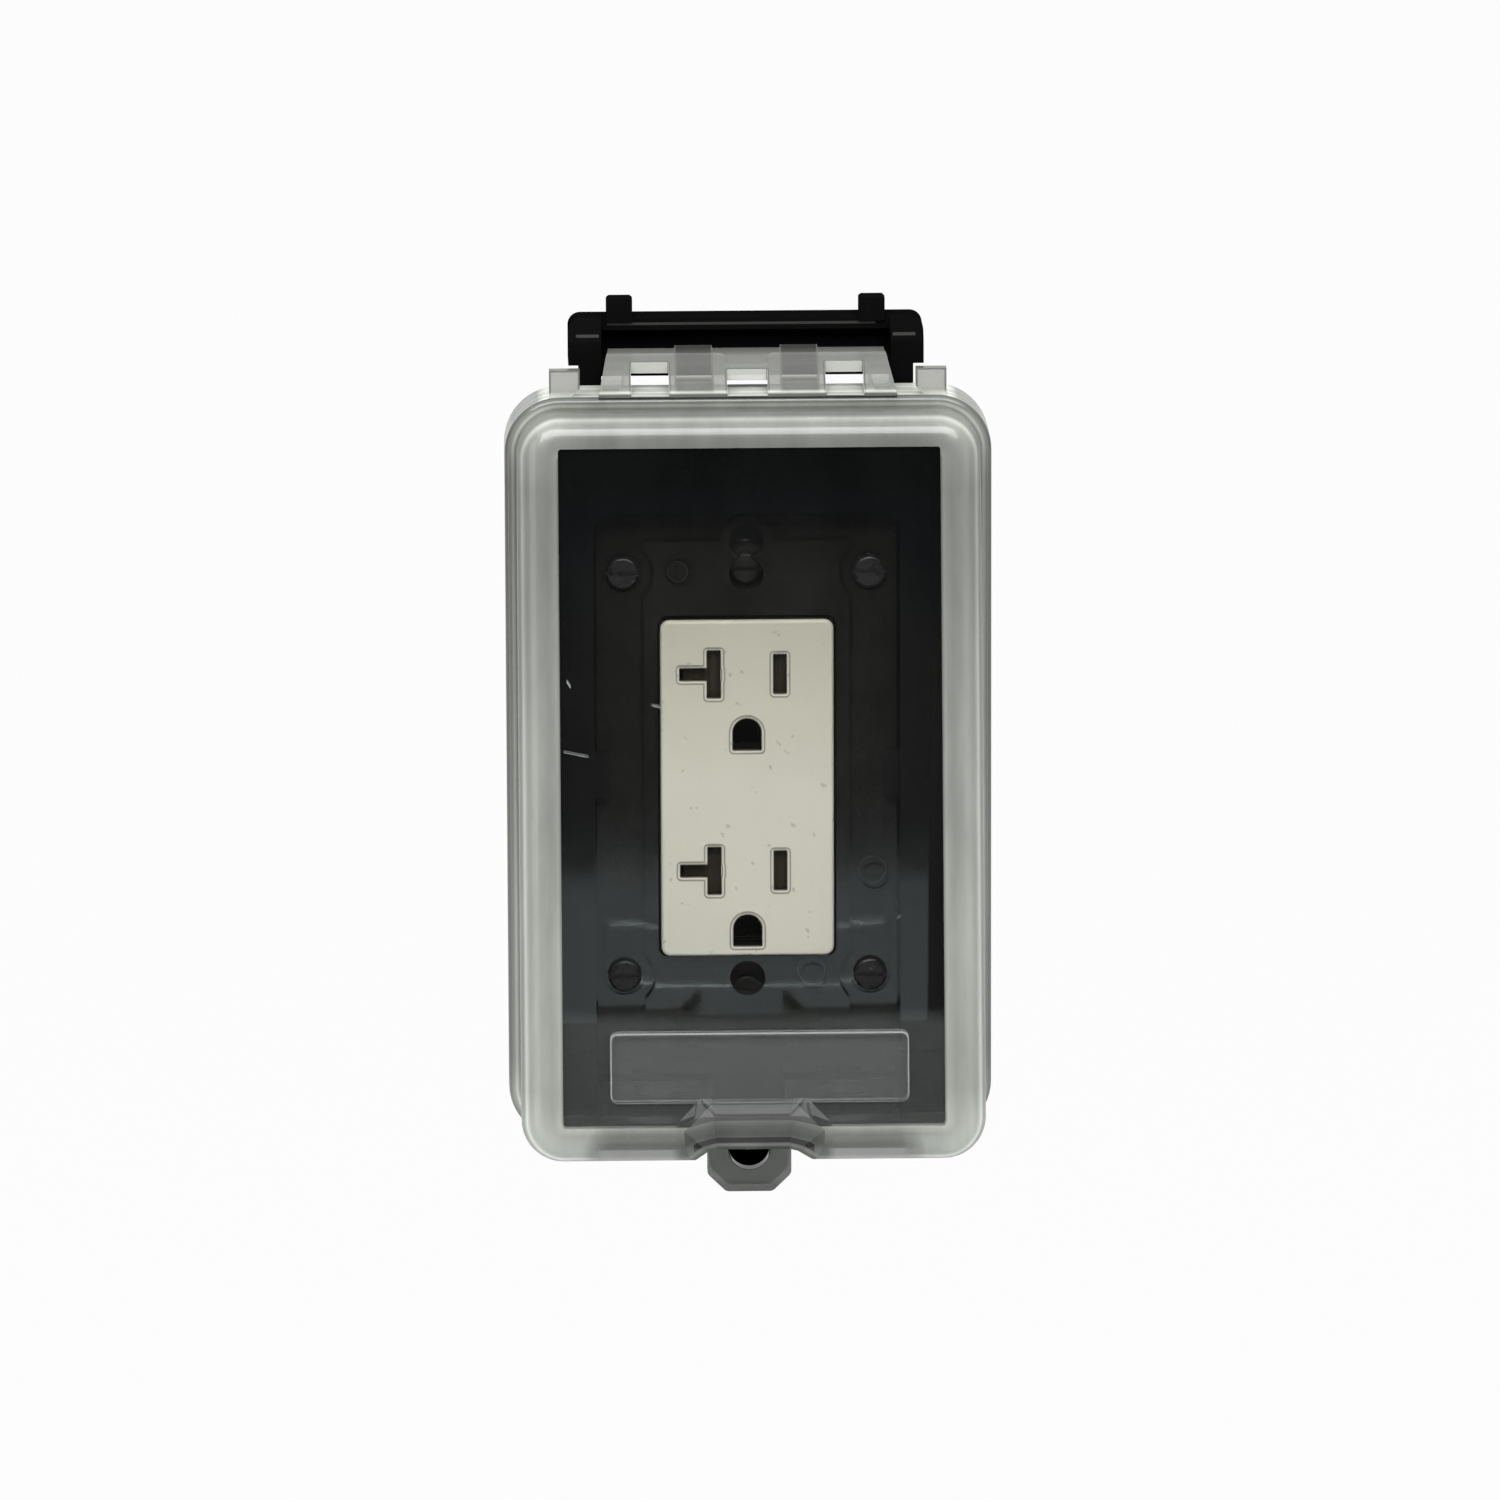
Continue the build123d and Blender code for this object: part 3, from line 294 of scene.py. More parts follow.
def markedColour(add, link, place, colour, values):
    # darker or lighter lines at a set distance from outlines in X and Z, and sparse specks
    calc = calculator(add, link)
    split = add("ShaderNodeSeparateXYZ")
    link(place.outputs["Object"], split.inputs[0])
    marks = values["marks"]
    nearest = None
    for outline in marks["outlines"]:
        away = boxDistance(calc, split.outputs["X"], split.outputs["Z"], *outline)
        nearest = away if nearest is None else calc("MINIMUM", nearest, away)
    for distance, halfWidth, strength, shade in marks["lines"]:
        off = calc("ABSOLUTE", calc("SUBTRACT", nearest, distance))
        near = spread(add, link, off, strength, 0.0, halfWidth * 0.6, halfWidth * 1.4)
        colour = blendColour(add, link, near, colour, shade)
    if "specks" in marks:
        scale, start, end, strength, shade = marks["specks"]
        spots = noise(add, link, place, scale, 2.0, 0.5)
        amount = spread(add, link, spots, 0.0, strength, start, end)
        colour = blendColour(add, link, amount, colour, shade)
    return colour


plasticDetail = {
    "patch": (5.0, 0.6),        # detail and roughness of the noise between the two shades
    "gloss": (3.0, 0.5),
    "glossScale": 2.3,          # the gloss's noise is finer by this
    "grain": (2.0, 0.5),
    "bumpDistance": 0.0002,
    "ior": 1.46,
}


def plasticBody(add, link, place, values):
    # two shades by a broad noise, uneven gloss and a fine bump
    detail, stretch = plasticDetail, values.get("stretch")
    broad = noise(add, link, place, values["patchScale"], *detail["patch"], stretch)
    shade = spread(add, link, broad, 0.0, 1.0)
    body = add("ShaderNodeBsdfPrincipled")
    colour = blendColour(add, link, shade, values["colour"], values["worn"])
    if "marks" in values:
        colour = markedColour(add, link, place, colour, values)
    link(colour, body.inputs["Base Color"])
    fine = values["patchScale"] * detail["glossScale"]
    gloss = noise(add, link, place, fine, *detail["gloss"], stretch)
    link(spread(add, link, gloss, *values["roughness"]), body.inputs["Roughness"])
    body.inputs["Metallic"].default_value = values.get("metallic", 0.0)
    body.inputs["IOR"].default_value = detail["ior"]
    body.inputs["Specular IOR Level"].default_value = values.get("shine", 0.5)
    body.inputs["Specular Tint"].default_value = (*values.get("gleam", (1.0, 1.0, 1.0)), 1)
    grain = noise(add, link, place, values["grainScale"], *detail["grain"], stretch)
    bump = add("ShaderNodeBump")
    bump.inputs["Strength"].default_value = values["grain"]
    bump.inputs["Distance"].default_value = detail["bumpDistance"]
    link(grain, bump.inputs["Height"])
    link(bump.outputs[0], body.inputs["Normal"])
    return body.outputs[0]


def mouldedFinish(name, values):
    # one plastic or metal, which turns into others past the places that the values name
    made, add, link = startMaterial(name)
    place = add("ShaderNodeTexCoord")
    last = plasticBody(add, link, place, values)
    for axis, start, end, other in values.get("beyond", ()):
        split = add("ShaderNodeSeparateXYZ")
        link(place.outputs["Object"], split.inputs[0])
        share = spread(add, link, split.outputs[axis], 0.0, 1.0, start, end)
        body = plasticBody(add, link, place, {**values, **other})
        last = mixShaders(add, link, share, last, body)
    out = add("ShaderNodeOutputMaterial")
    link(last, out.inputs[0])
    return made


# Marks: outlines as middle, half size and corner in X and Z, and lines as distance from
# the nearest outline, half width, strength and shade

deepBlack = {
    "colour": (0.0022, 0.0022, 0.0022), "worn": (0.0030, 0.0030, 0.0030),
    "grain": 0.0, "shine": 0.0,
}
housingHighlights = {   # painted highlights along the housing's rounded top edges
    "outlines": [((x, z), (half, 0.00006), 0.00005)
                 for x, z, half in ((-0.0302, 0.0887, 0.0020), (0.0302, 0.0887, 0.0020),
                                    (-0.0008, 0.0904, 0.0255))],
    "lines": ((0.0, 0.00018, 0.8, (0.034, 0.034, 0.033)),),
}
insertRingShading = {   # painted shade round three round marks in the insert, and a painted highlight just inside each
    "outlines": [((x, z), (radius, radius), radius)
                 for x, z, radius in ((-0.0132, 0.0421, 0.0023), (0.0123, -0.0363, 0.0030),
                                      (0.0241, -0.0170, 0.0030))],
    "lines": ((0.0, 0.00016, 0.85, (0.0012, 0.0012, 0.0012)),
              (-0.00035, 0.00014, 0.5, (0.040, 0.040, 0.036))),
}
slotShadeAndSpecks = {   # painted shade and a painted highlight round the receptacle's slots, two outlets with the same five outlines, and sparse dark specks
    "outlines": [((x, height + rise), half, corner)
                 for height in (0.0224, -0.0162)
                 for x, rise, half, corner in (
                     (-0.00635, 0.0, (0.0013, 0.00465), 0.0002),
                     (-0.0089, 0.0, (0.0040, 0.0012), 0.0002),
                     (0.00635, 0.0, (0.00125, 0.00385), 0.0002),
                     (0.0, -0.01145, (0.00275, 0.00275), 0.00275),
                     (0.0, -0.01318, (0.00275, 0.00172), 0.0002))],
    "lines": ((0.00062, 0.00015, 0.85, (0.25, 0.235, 0.20)),
              (0.00031, 0.00014, 0.55, (0.72, 0.70, 0.62)),
              (0.00004, 0.00010, 0.9, (0.10, 0.09, 0.07))),
    "specks": (380.0, 0.665, 0.695, 0.5, (0.30, 0.285, 0.24)),   # scale, from, to, strength, shade
}
noMarks = {"outlines": [((0.0, 0.0), (0.02, 0.04), 0.001)], "lines": ()}

# Finishes: "shine" is the specular level, "gleam" its tint, and "beyond" gives an axis, from
# and to, and what is different past there

finishes = {
    "blackPlastic": {   # the pan shines, with painted shade, darker and bluer, above 30 to 50 mm; its hinge housing and padlock boss are a deeper black
        "colour": (0.0072, 0.0074, 0.0068), "worn": (0.0110, 0.0112, 0.0104), "patchScale": 60.0,
        "roughness": (0.035, 0.055), "grainScale": 500.0, "grain": 0.003, "shine": 0.68,
        "gleam": (0.90, 1.0, 1.03),
        "beyond": (
            # painted shade: the pan darker and bluer above 30 to 50 mm
            ("Z", 0.030, 0.050, {
                "colour": (0.0034, 0.0044, 0.0054), "worn": (0.0050, 0.0062, 0.0074)}),
            # the hinge housing, deep black with painted highlights along its top edges
            ("Z", 0.0755, 0.0762, {**deepBlack, "roughness": (0.22, 0.30), "marks": housingHighlights}),
            ("Z", -0.0640, -0.0650, {**deepBlack, "roughness": (0.5, 0.6)}),
        ),
    },
    "insertPlastic": {
        "colour": (0.0086, 0.0088, 0.0072), "worn": (0.0150, 0.0152, 0.0126), "patchScale": 80.0,
        "roughness": (0.045, 0.07), "grainScale": 500.0, "grain": 0.003, "shine": 0.68,
        "gleam": (0.90, 1.0, 1.03), "marks": insertRingShading,
    },
    "gateRubber": {
        "colour": (0.006, 0.006, 0.0065), "worn": (0.010, 0.010, 0.011), "patchScale": 90.0,
        "roughness": (0.62, 0.78), "grainScale": 1800.0, "grain": 0.22, "shine": 0.3,
    },
    "gasketFoam": {
        "colour": (0.020, 0.020, 0.021), "worn": (0.040, 0.040, 0.041), "patchScale": 900.0,
        "roughness": (0.85, 0.95), "grainScale": 1500.0, "grain": 0.8,
    },
    "whitePlastic": {   # a little darker at the top, with painted shade on the walls inside the openings
        "colour": (0.715, 0.697, 0.590), "worn": (0.680, 0.662, 0.560), "patchScale": 45.0,
        "roughness": (0.30, 0.40), "grainScale": 1500.0, "grain": 0.05, "marks": slotShadeAndSpecks,
        "beyond": (
            ("Z", 0.0, 0.032, {"colour": (0.552, 0.531, 0.430), "worn": (0.525, 0.505, 0.408)}),
            # painted shade on the walls inside the openings
            ("Y", -0.0099, -0.0093, {
                "colour": (0.010, 0.009, 0.0075), "worn": (0.007, 0.006, 0.005), "shine": 0.1,
                "marks": noMarks}),
        ),
    },
    "bodyPlastic": {
        "colour": (0.10, 0.10, 0.10), "worn": (0.13, 0.13, 0.128), "patchScale": 40.0,
        "roughness": (0.42, 0.55), "grainScale": 2000.0, "grain": 0.15,
    },
    "shutterPlastic": {
        "colour": (0.014, 0.0105, 0.0065), "worn": (0.036, 0.029, 0.019), "patchScale": 900.0,
        "roughness": (0.35, 0.5), "grainScale": 1400.0, "grain": 0.5, "stretch": (1.0, 1.0, 0.03),
        "shine": 0.2,
    },
    "strapSteel": {
        "colour": (0.018, 0.0175, 0.0165), "worn": (0.034, 0.033, 0.031), "patchScale": 120.0,
        "roughness": (0.36, 0.50), "grainScale": 900.0, "grain": 0.08, "metallic": 0.5,
    },
    "zincSteel": {
        "colour": (0.50, 0.50, 0.48), "worn": (0.62, 0.61, 0.57), "patchScale": 120.0,
        "roughness": (0.24, 0.38), "grainScale": 900.0, "grain": 0.08, "metallic": 1.0,
    },
    "contactBrass": {
        "colour": (0.66, 0.46, 0.18), "worn": (0.74, 0.55, 0.26), "patchScale": 120.0,
        "roughness": (0.22, 0.34), "grainScale": 1200.0, "grain": 0.06, "metallic": 1.0,
    },
    # a darker copy of contactBrass: painted shade on the ground contact deep in its hole
    "shadedBrass": {
        "colour": (0.050, 0.034, 0.015), "worn": (0.085, 0.060, 0.028), "patchScale": 120.0,
        "roughness": (0.40, 0.55), "grainScale": 1200.0, "grain": 0.06, "metallic": 0.8,
    },
    "screwBrass": {
        "colour": (0.70, 0.50, 0.20), "worn": (0.62, 0.42, 0.16), "patchScale": 220.0,
        "roughness": (0.18, 0.30), "grainScale": 1500.0, "grain": 0.08, "metallic": 1.0,
    },
    "screwNickel": {
        "colour": (0.64, 0.62, 0.57), "worn": (0.55, 0.54, 0.50), "patchScale": 220.0,
        "roughness": (0.20, 0.32), "grainScale": 1500.0, "grain": 0.08, "metallic": 1.0,
    },
    "screwGreen": {
        "colour": (0.03, 0.22, 0.07), "worn": (0.07, 0.30, 0.11), "patchScale": 260.0,
        "roughness": (0.28, 0.42), "grainScale": 1500.0, "grain": 0.08, "metallic": 0.7,
    },
    "darkScrew": {
        "colour": (0.008, 0.008, 0.0085), "worn": (0.018, 0.018, 0.018), "patchScale": 220.0,
        "roughness": (0.24, 0.36), "grainScale": 1500.0, "grain": 0.1, "shine": 0.45,
    },
}
made = {name: mouldedFinish(name, values) for name, values in finishes.items()}

lidPlastic = {
    # places in X and Z: middle, half size and corner, in metres
    "window": ((0.0, 0.0079), (0.0362, 0.0633), 0.0006),
    "windowFront": -0.0272,           # the window lies in front of this
    "outline": ((0.0, 0.0073), (0.04625, 0.07225), 0.0106),
    "plaque": ((0.0011, -0.0443), (0.0282, 0.00645), 0.0013),
    "plaqueLine": 0.00022,
    "foot": ((0.0, -0.0640), (0.0305, 0.0075), 0.004),
    "scoop": ((0.0, -0.0610), (0.0145, 0.0095), 0.004),
    "ear": ((0.0348, 0.0790), (0.0029, 0.00565), 0.0004),
    "bore": (-0.0698, 0.00412),       # the height of its middle, and its radius
    # places in X and Y
    "hoodWindows": (((0.0, -0.0225), (0.00385, 0.0042), 0.0003),
                    ((0.0185, -0.0213), (0.0036, 0.0054), 0.0003)),
    # where zones begin, from and to: the hood and the tab in Z, the other two in Y
    "hoodZone": (0.0798, 0.0806),
    "tabZone": (-0.0645, -0.0665),
    "filmZone": (-0.0135, -0.0105),        # behind this the hood is a thin film
    "skirtZone": (-0.0262, -0.0255),       # behind this is the skirt's outer side
    "earsFrom": 0.0305,
    # the polished window
    "tint": (0.985, 0.988, 0.988),
    "windowIor": 1.49,
    "windowRoughness": 0.05,
    "milk": (0.60, 0.63, 0.62),            # the colour of haze and wear, and of the painted reflection low in the window
    "smears": (60.0, 3.0, 0.6, (1.0, 1.0, 0.3)),      # scale, detail, roughness and stretch
    "smearRange": (0.3, 1.7),
    "haze": 0.0012,
    "plaqueHaze": 0.026,
    "lineHaze": 0.24,
    "lowWindowReflection": (0.022, -0.0335, -0.0365),     # stands for a reflection low in the window
    "scratches": (   # from and to in X and Z, half width, strength
        ((-0.0348, 0.0278), (-0.0342, 0.0268), 0.00010, 0.35),
        ((-0.0355, 0.0147), (-0.0310, 0.0138), 0.00008, 0.25),
        ((-0.0188, 0.0233), (-0.0172, 0.0229), 0.00010, 0.25),
    ),
    # the frosted border
    "frost": (0.165, 0.172, 0.158),
    "frostPale": (0.205, 0.212, 0.196),
    "streaks": (150.0, 4.0, 0.6, (1.0, 1.0, 0.06)),
    "streakRange": (0.35, 0.65),
    "borderRoughness": 0.15,
    "borderIor": 1.55,
    "borderShine": 0.5,
    "scoopShine": 0.10,
    "soak": 0.22,                     # share of the light that soaks through to the other side
    # painted highlights and shade by the distance in from the lid's outline, in millimetres
    "ringReach": 10.0,
    "ringShading": ((0.0, 0.55), (0.5, 0.62), (0.9, 0.92), (1.15, 1.15), (1.45, 2.0), (1.75, 1.75),
              (2.0, 1.05), (2.7, 1.1), (2.95, 1.8), (3.2, 2.4), (3.5, 1.8), (3.9, 1.32),
              (5.5, 1.22), (8.0, 1.0), (9.0, 1.12), (9.5, 1.25), (9.8, 0.95), (10.0, 0.65)),
    # painted highlight lines and shade on the skirt's outer side by the distance in front of the
    # origin, in millimetres, from the start to twice that far
    "bandStart": 13.0,
    "bandShading": ((13.0, 1.0), (15.0, 1.5), (16.8, 1.3), (17.2, 2.4), (17.7, 1.4), (21.3, 1.5),
              (21.8, 2.6), (22.3, 1.4), (24.9, 1.6), (25.4, 2.4), (26.0, 1.2)),
    # shades: at the first place, at the second place, and the two places
    "underHoodLight": (1.0, 3.1, 0.0786, 0.0792),          # painted light on the skirt's top, which the hood covers
    "borderHeightShade": (1.21, 0.70, -0.02, 0.072),               # painted shade down the whole border, lighter at the bottom and darker at the top
    # painted shade along the tab's bottom
    "tabBottomShade": (0.34, 1.0, -0.0785, -0.0755),
    "corners": ((0.030, 0.041), (0.056, 0.067), 0.55),   # painted light at the corners: from and to across and up, and the lift
    "footShade": (0.50, 0.0022),                      # shade, and half the width of its soft edge
    "scoopShade": (0.72, 0.0010),
    # painted shade on the bottom wall's inner face: from and to in Z, behind this in Y, half width
    # and shade
    "sill": (-0.0612, -0.0598, -0.0540, 0.0385, 0.22),
    # hood, ears and tab
    "hood": (0.215, 0.22, 0.208),
    "ears": (0.325, 0.33, 0.305),
    "tab": (0.162, 0.168, 0.153),
    # middle, half width, width of the line, shade and soft edge
    "knuckle": (0.01005, 0.00355, 0.0003, 0.66, 0.0004),
    "knuckleLine": 0.6,
    "edgeLine": 0.00034,
    "edgeShade": 0.45,
    "earLineFrom": 0.0312,
    "cutWall": (0.00005, (0.62, 0.63, 0.60)),         # painted light on the walls of the hood's windows
    # painted shadow inside the padlock bore
    "boreShadow": (0.003, 0.003, 0.003),
    # share of light let straight through
    "borderOpen": 0.08,
    "hoodOpen": 0.36,
    "filmOpen": 0.78,
    "tabOpen": 0.24,
    "footOpen": 0.34,      # added to the border's
    "scoopOpen": 0.34,     # these two multiply it
    "sillOpen": 0.2,
}


def lineDistance(calc, across, up, start, end):
    # distance to a straight scratch: to the nearest point of the stretch, held between its ends
    run = (end[0] - start[0], end[1] - start[1])
    size = run[0] ** 2 + run[1] ** 2
    dx, dz = calc("SUBTRACT", across, start[0]), calc("SUBTRACT", up, start[1])
    along = calc("ADD", calc("MULTIPLY", dx, run[0] / size), calc("MULTIPLY", dz, run[1] / size))
    held = calc("MINIMUM", calc("MAXIMUM", along, 0.0), 1.0)
    offX = calc("SUBTRACT", dx, calc("MULTIPLY", held, run[0]))
    offZ = calc("SUBTRACT", dz, calc("MULTIPLY", held, run[1]))
    return calc("SQRT", calc("ADD", calc("MULTIPLY", offX, offX), calc("MULTIPLY", offZ, offZ)))


highestLevel = 3.0      # a colour ramp holds 0 to 1, so its stops are divided by this


def levelRamp(add, link, source, stops):
    # a level for each place between 0 and 1, in a straight line from stop to stop
    ramp = add("ShaderNodeValToRGB")
    elements = ramp.color_ramp.elements
    for at, (place, level) in enumerate(stops):
        stop = elements[at] if at < 2 else elements.new(place)
        stop.position = place
        stop.color = (*[level / highestLevel] * 3, 1)
    link(source, ramp.inputs[0])
    return calculator(add, link)("MULTIPLY", ramp.outputs[0], highestLevel)


def scaledColour(add, link, colour, level):
    scaled = add("ShaderNodeVectorMath")
    scaled.operation = "SCALE"
    link(colour, scaled.inputs[0])
    link(level, scaled.inputs["Scale"])
    return scaled.outputs[0]


def clearLid(values):
    lid, add, link = startMaterial("clearLid")
    place = add("ShaderNodeTexCoord")
    split = add("ShaderNodeSeparateXYZ")
    link(place.outputs["Object"], split.inputs[0])
    x, y, z = (split.outputs[axis] for axis in "XYZ")
    calc = calculator(add, link)
    ramp, blend, scaled, mixed = (partial(one, add, link) for one in
                                  (spread, blendColour, scaledColour, mixShaders))
    wide = calc("ABSOLUTE", x)

    # window: what is behind it, with the mirror of a polished face, a little haze and wear, and a
    # painted reflection low down
    inside = calc("LESS_THAN", boxDistance(calc, x, z, *values["window"]), 0.0)
    inWindow = calc("MULTIPLY", inside, calc("LESS_THAN", y, values["windowFront"]))
    plaque = boxDistance(calc, x, z, *values["plaque"])
    panel = calc("LESS_THAN", plaque, 0.0)
    line = calc("COMPARE", plaque, 0.0, values["plaqueLine"] / 2)
    through = add("ShaderNodeBsdfTransparent")
    through.inputs["Color"].default_value = (*values["tint"], 1)
    mirror = add("ShaderNodeBsdfGlossy")
    mirror.inputs["Roughness"].default_value = values["windowRoughness"]
    fresnel = add("ShaderNodeFresnel")
    fresnel.inputs["IOR"].default_value = values["windowIor"]
    pane = mixed(fresnel.outputs[0], through.outputs[0], mirror.outputs[0])
    milk = add("ShaderNodeBsdfDiffuse")
    milk.inputs["Color"].default_value = (*values["milk"], 1)
    smears = ramp(noise(add, link, place, *values["smears"]), *values["smearRange"])
    haze = calc("MULTIPLY", smears, values["haze"])
    # painted reflection low in the window, added to the haze
    haze = calc("ADD", haze, ramp(z, 0.0, *values["lowWindowReflection"]))
    haze = calc("MULTIPLY_ADD", panel, values["plaqueHaze"], haze)
    haze = calc("MULTIPLY_ADD", line, values["lineHaze"], haze)
    for start, end, halfWidth, strength in values["scratches"]:
        away = lineDistance(calc, x, z, start, end)
        haze = calc("MULTIPLY_ADD", calc("LESS_THAN", away, halfWidth), strength, haze)
    window = mixed(haze, pane, milk.outputs[0])

    # frosted border: glossy moulding that light soaks through, with painted highlights and shade in
    # rings along its steps, in bands on the skirt's side, under the hood, down its height, at its
    # corners and over the foot and scoop
    streaks = noise(add, link, place, *values["streaks"])
    streaks = ramp(streaks, 0.0, 1.0, *values["streakRange"])
    colour = blend(streaks, values["frost"], values["frostPale"])
    reach, bandStart = values["ringReach"], values["bandStart"]
    inward = calc("MULTIPLY", boxDistance(calc, x, z, *values["outline"]), -1000.0 / reach)
    # painted highlights and shade in rings in from the outline
    stops = [(away / reach, shade) for away, shade in values["ringShading"]]
    ringShading = levelRamp(add, link, inward, stops)
    # painted highlight lines and shade in bands on the skirt's outer side
    behind = calc("MULTIPLY_ADD", y, -1000.0 / bandStart, -1.0)
    stops = [(away / bandStart - 1, shade) for away, shade in values["bandShading"]]
    bandShading = levelRamp(add, link, behind, stops)
    # painted light on the skirt's top, in the hood's shadow
    bandShading = calc("MULTIPLY", bandShading, ramp(z, *values["underHoodLight"]))
    onSide = ramp(y, 0.0, 1.0, *values["skirtZone"])
    ringShading = calc("MULTIPLY", ringShading, calc("SUBTRACT", 1.0, onSide))
    level = calc("ADD", calc("MULTIPLY", bandShading, onSide), ringShading)
    # painted shade, lighter at the bottom and darker at the top
    level = calc("MULTIPLY", level, ramp(z, *values["borderHeightShade"]))
    # painted light at the border's corners
    across, up, lift = values["corners"]
    height = calc("ABSOLUTE", calc("SUBTRACT", z, values["outline"][0][1]))
    corner = calc("MULTIPLY", ramp(wide, 0.0, 1.0, *across), ramp(height, 0.0, 1.0, *up))
    level = calc("MULTIPLY", level, calc("MULTIPLY_ADD", corner, lift, 1.0))
    apart = {}
    for part in ("foot", "scoop"):
        partShade, softness = values[part + "Shade"]
        apart[part] = ramp(boxDistance(calc, x, z, *values[part]), 0.0, 1.0, -softness, softness)
        level = calc("MULTIPLY", level, ramp(apart[part], partShade, 1.0, 0.0, 1.0))

    # thin dark edges round the ears and the hood's windows, and painted light on the walls of these
    inHood = ramp(z, 0.0, 1.0, *values["hoodZone"])
    inTab = ramp(z, 0.0, 1.0, *values["tabZone"])
    edgeLine = values["edgeLine"]
    edges = calc("GREATER_THAN", boxDistance(calc, wide, z, *values["ear"]), -edgeLine)
    edges = calc("MULTIPLY", edges, calc("GREATER_THAN", wide, values["earLineFrom"]))
    nearest, wallLight = values["cutWall"]
    walls = None
    for opening in values["hoodWindows"]:
        away = boxDistance(calc, wide, y, *opening)
        edges = calc("MAXIMUM", edges, calc("COMPARE", away, edgeLine * 0.6, edgeLine * 0.4))
        wall = calc("LESS_THAN", calc("ABSOLUTE", away), nearest)
        walls = wall if walls is None else calc("MAXIMUM", walls, wall)
    walls = calc("MULTIPLY", walls, inHood)
    edges = calc("MULTIPLY", edges, inHood)

    # knuckles over the hinge bar, darker than the hood and with a line on each side
    middle, halfWidth, knuckleEdge, knuckleShade, softness = values["knuckle"]
    fromMiddle = calc("ABSOLUTE", calc("SUBTRACT", wide, middle))
    fromKnuckle = calc("SUBTRACT", fromMiddle, halfWidth)
    knuckle = ramp(fromKnuckle, knuckleShade, 1.0, -softness, 0.0)
    knuckleLine = calc("MULTIPLY", calc("COMPARE", fromKnuckle, 0.0, knuckleEdge / 2), inHood)
    edges = calc("MAXIMUM", edges, calc("MULTIPLY", knuckleLine, values["knuckleLine"]))

    # all colours together, with painted light and shade: border, hood and ears, tab, painted light
    # on the cut walls, painted shade on the sill and in the bore
    top = blend(calc("GREATER_THAN", wide, values["earsFrom"]), values["hood"], values["ears"])
    colourWithPaintedLight = blend(inHood, scaled(colour, level), scaled(top, knuckle))
    colourWithPaintedLight = blend(inTab, colourWithPaintedLight, values["tab"])
    colourWithPaintedLight = scaled(colourWithPaintedLight, ramp(edges, 1.0, values["edgeShade"], 0.0, 1.0))
    # painted shade along the tab's bottom
    colourWithPaintedLight = scaled(colourWithPaintedLight, ramp(z, *values["tabBottomShade"]))
    # painted light on the walls of the hood's windows
    colourWithPaintedLight = blend(walls, colourWithPaintedLight, wallLight)
    # painted shade on the bottom wall's inner face
    low, high, behindThis, sillHalf, sillShade = values["sill"]
    sill = calc("MULTIPLY", calc("GREATER_THAN", z, low), calc("LESS_THAN", z, high))
    sill = calc("MULTIPLY", sill, calc("GREATER_THAN", y, behindThis))
    sill = calc("MULTIPLY", sill, calc("LESS_THAN", wide, sillHalf))
    colourWithPaintedLight = scaled(colourWithPaintedLight, ramp(sill, 1.0, sillShade, 0.0, 1.0))
    # painted shadow inside the padlock bore
    boreHeight, boreRadius = values["bore"]
    offZ = calc("SUBTRACT", z, boreHeight)
    fromBore = calc("SQRT", calc("ADD", calc("MULTIPLY", x, x), calc("MULTIPLY", offZ, offZ)))
    inBore = calc("LESS_THAN", fromBore, boreRadius)
    colourWithPaintedLight = blend(inBore, colourWithPaintedLight, values["boreShadow"])

    body = add("ShaderNodeBsdfPrincipled")
    link(colourWithPaintedLight, body.inputs["Base Color"])
    body.inputs["Roughness"].default_value = values["borderRoughness"]
    body.inputs["IOR"].default_value = values["borderIor"]
    shine = ramp(apart["scoop"], values["scoopShine"], values["borderShine"], 0.0, 1.0)
    link(shine, body.inputs["Specular IOR Level"])
    soak = add("ShaderNodeBsdfTranslucent")
    link(colourWithPaintedLight, soak.inputs["Color"])
    glow = mixed(values["soak"], body.outputs[0], soak.outputs[0])

    # share of light that goes straight through each zone
    borderOpen = values["borderOpen"]
    film = ramp(y, values["hoodOpen"], values["filmOpen"], *values["filmZone"])
    share = calc("MULTIPLY_ADD", calc("SUBTRACT", film, borderOpen), inHood, borderOpen)
    share = calc("MULTIPLY_ADD", inTab, values["tabOpen"] - borderOpen, share)
    inFoot = calc("MULTIPLY", calc("SUBTRACT", 1.0, apart["foot"]), calc("SUBTRACT", 1.0, inTab))
    share = calc("MULTIPLY_ADD", inFoot, values["footOpen"], share)
    share = calc("MULTIPLY", share, ramp(apart["scoop"], values["scoopOpen"], 1.0, 0.0, 1.0))
    share = calc("MULTIPLY", share, ramp(sill, 1.0, values["sillOpen"], 0.0, 1.0))
    share = calc("MULTIPLY", share, calc("SUBTRACT", 1.0, calc("MAXIMUM", edges, inBore)))
    clear = add("ShaderNodeBsdfTransparent")
    frost = mixed(share, glow, clear.outputs[0])

    out = add("ShaderNodeOutputMaterial")
    link(mixed(inWindow, frost, window), out.inputs[0])
    return lid


made["clearLid"] = clearLid(lidPlastic)

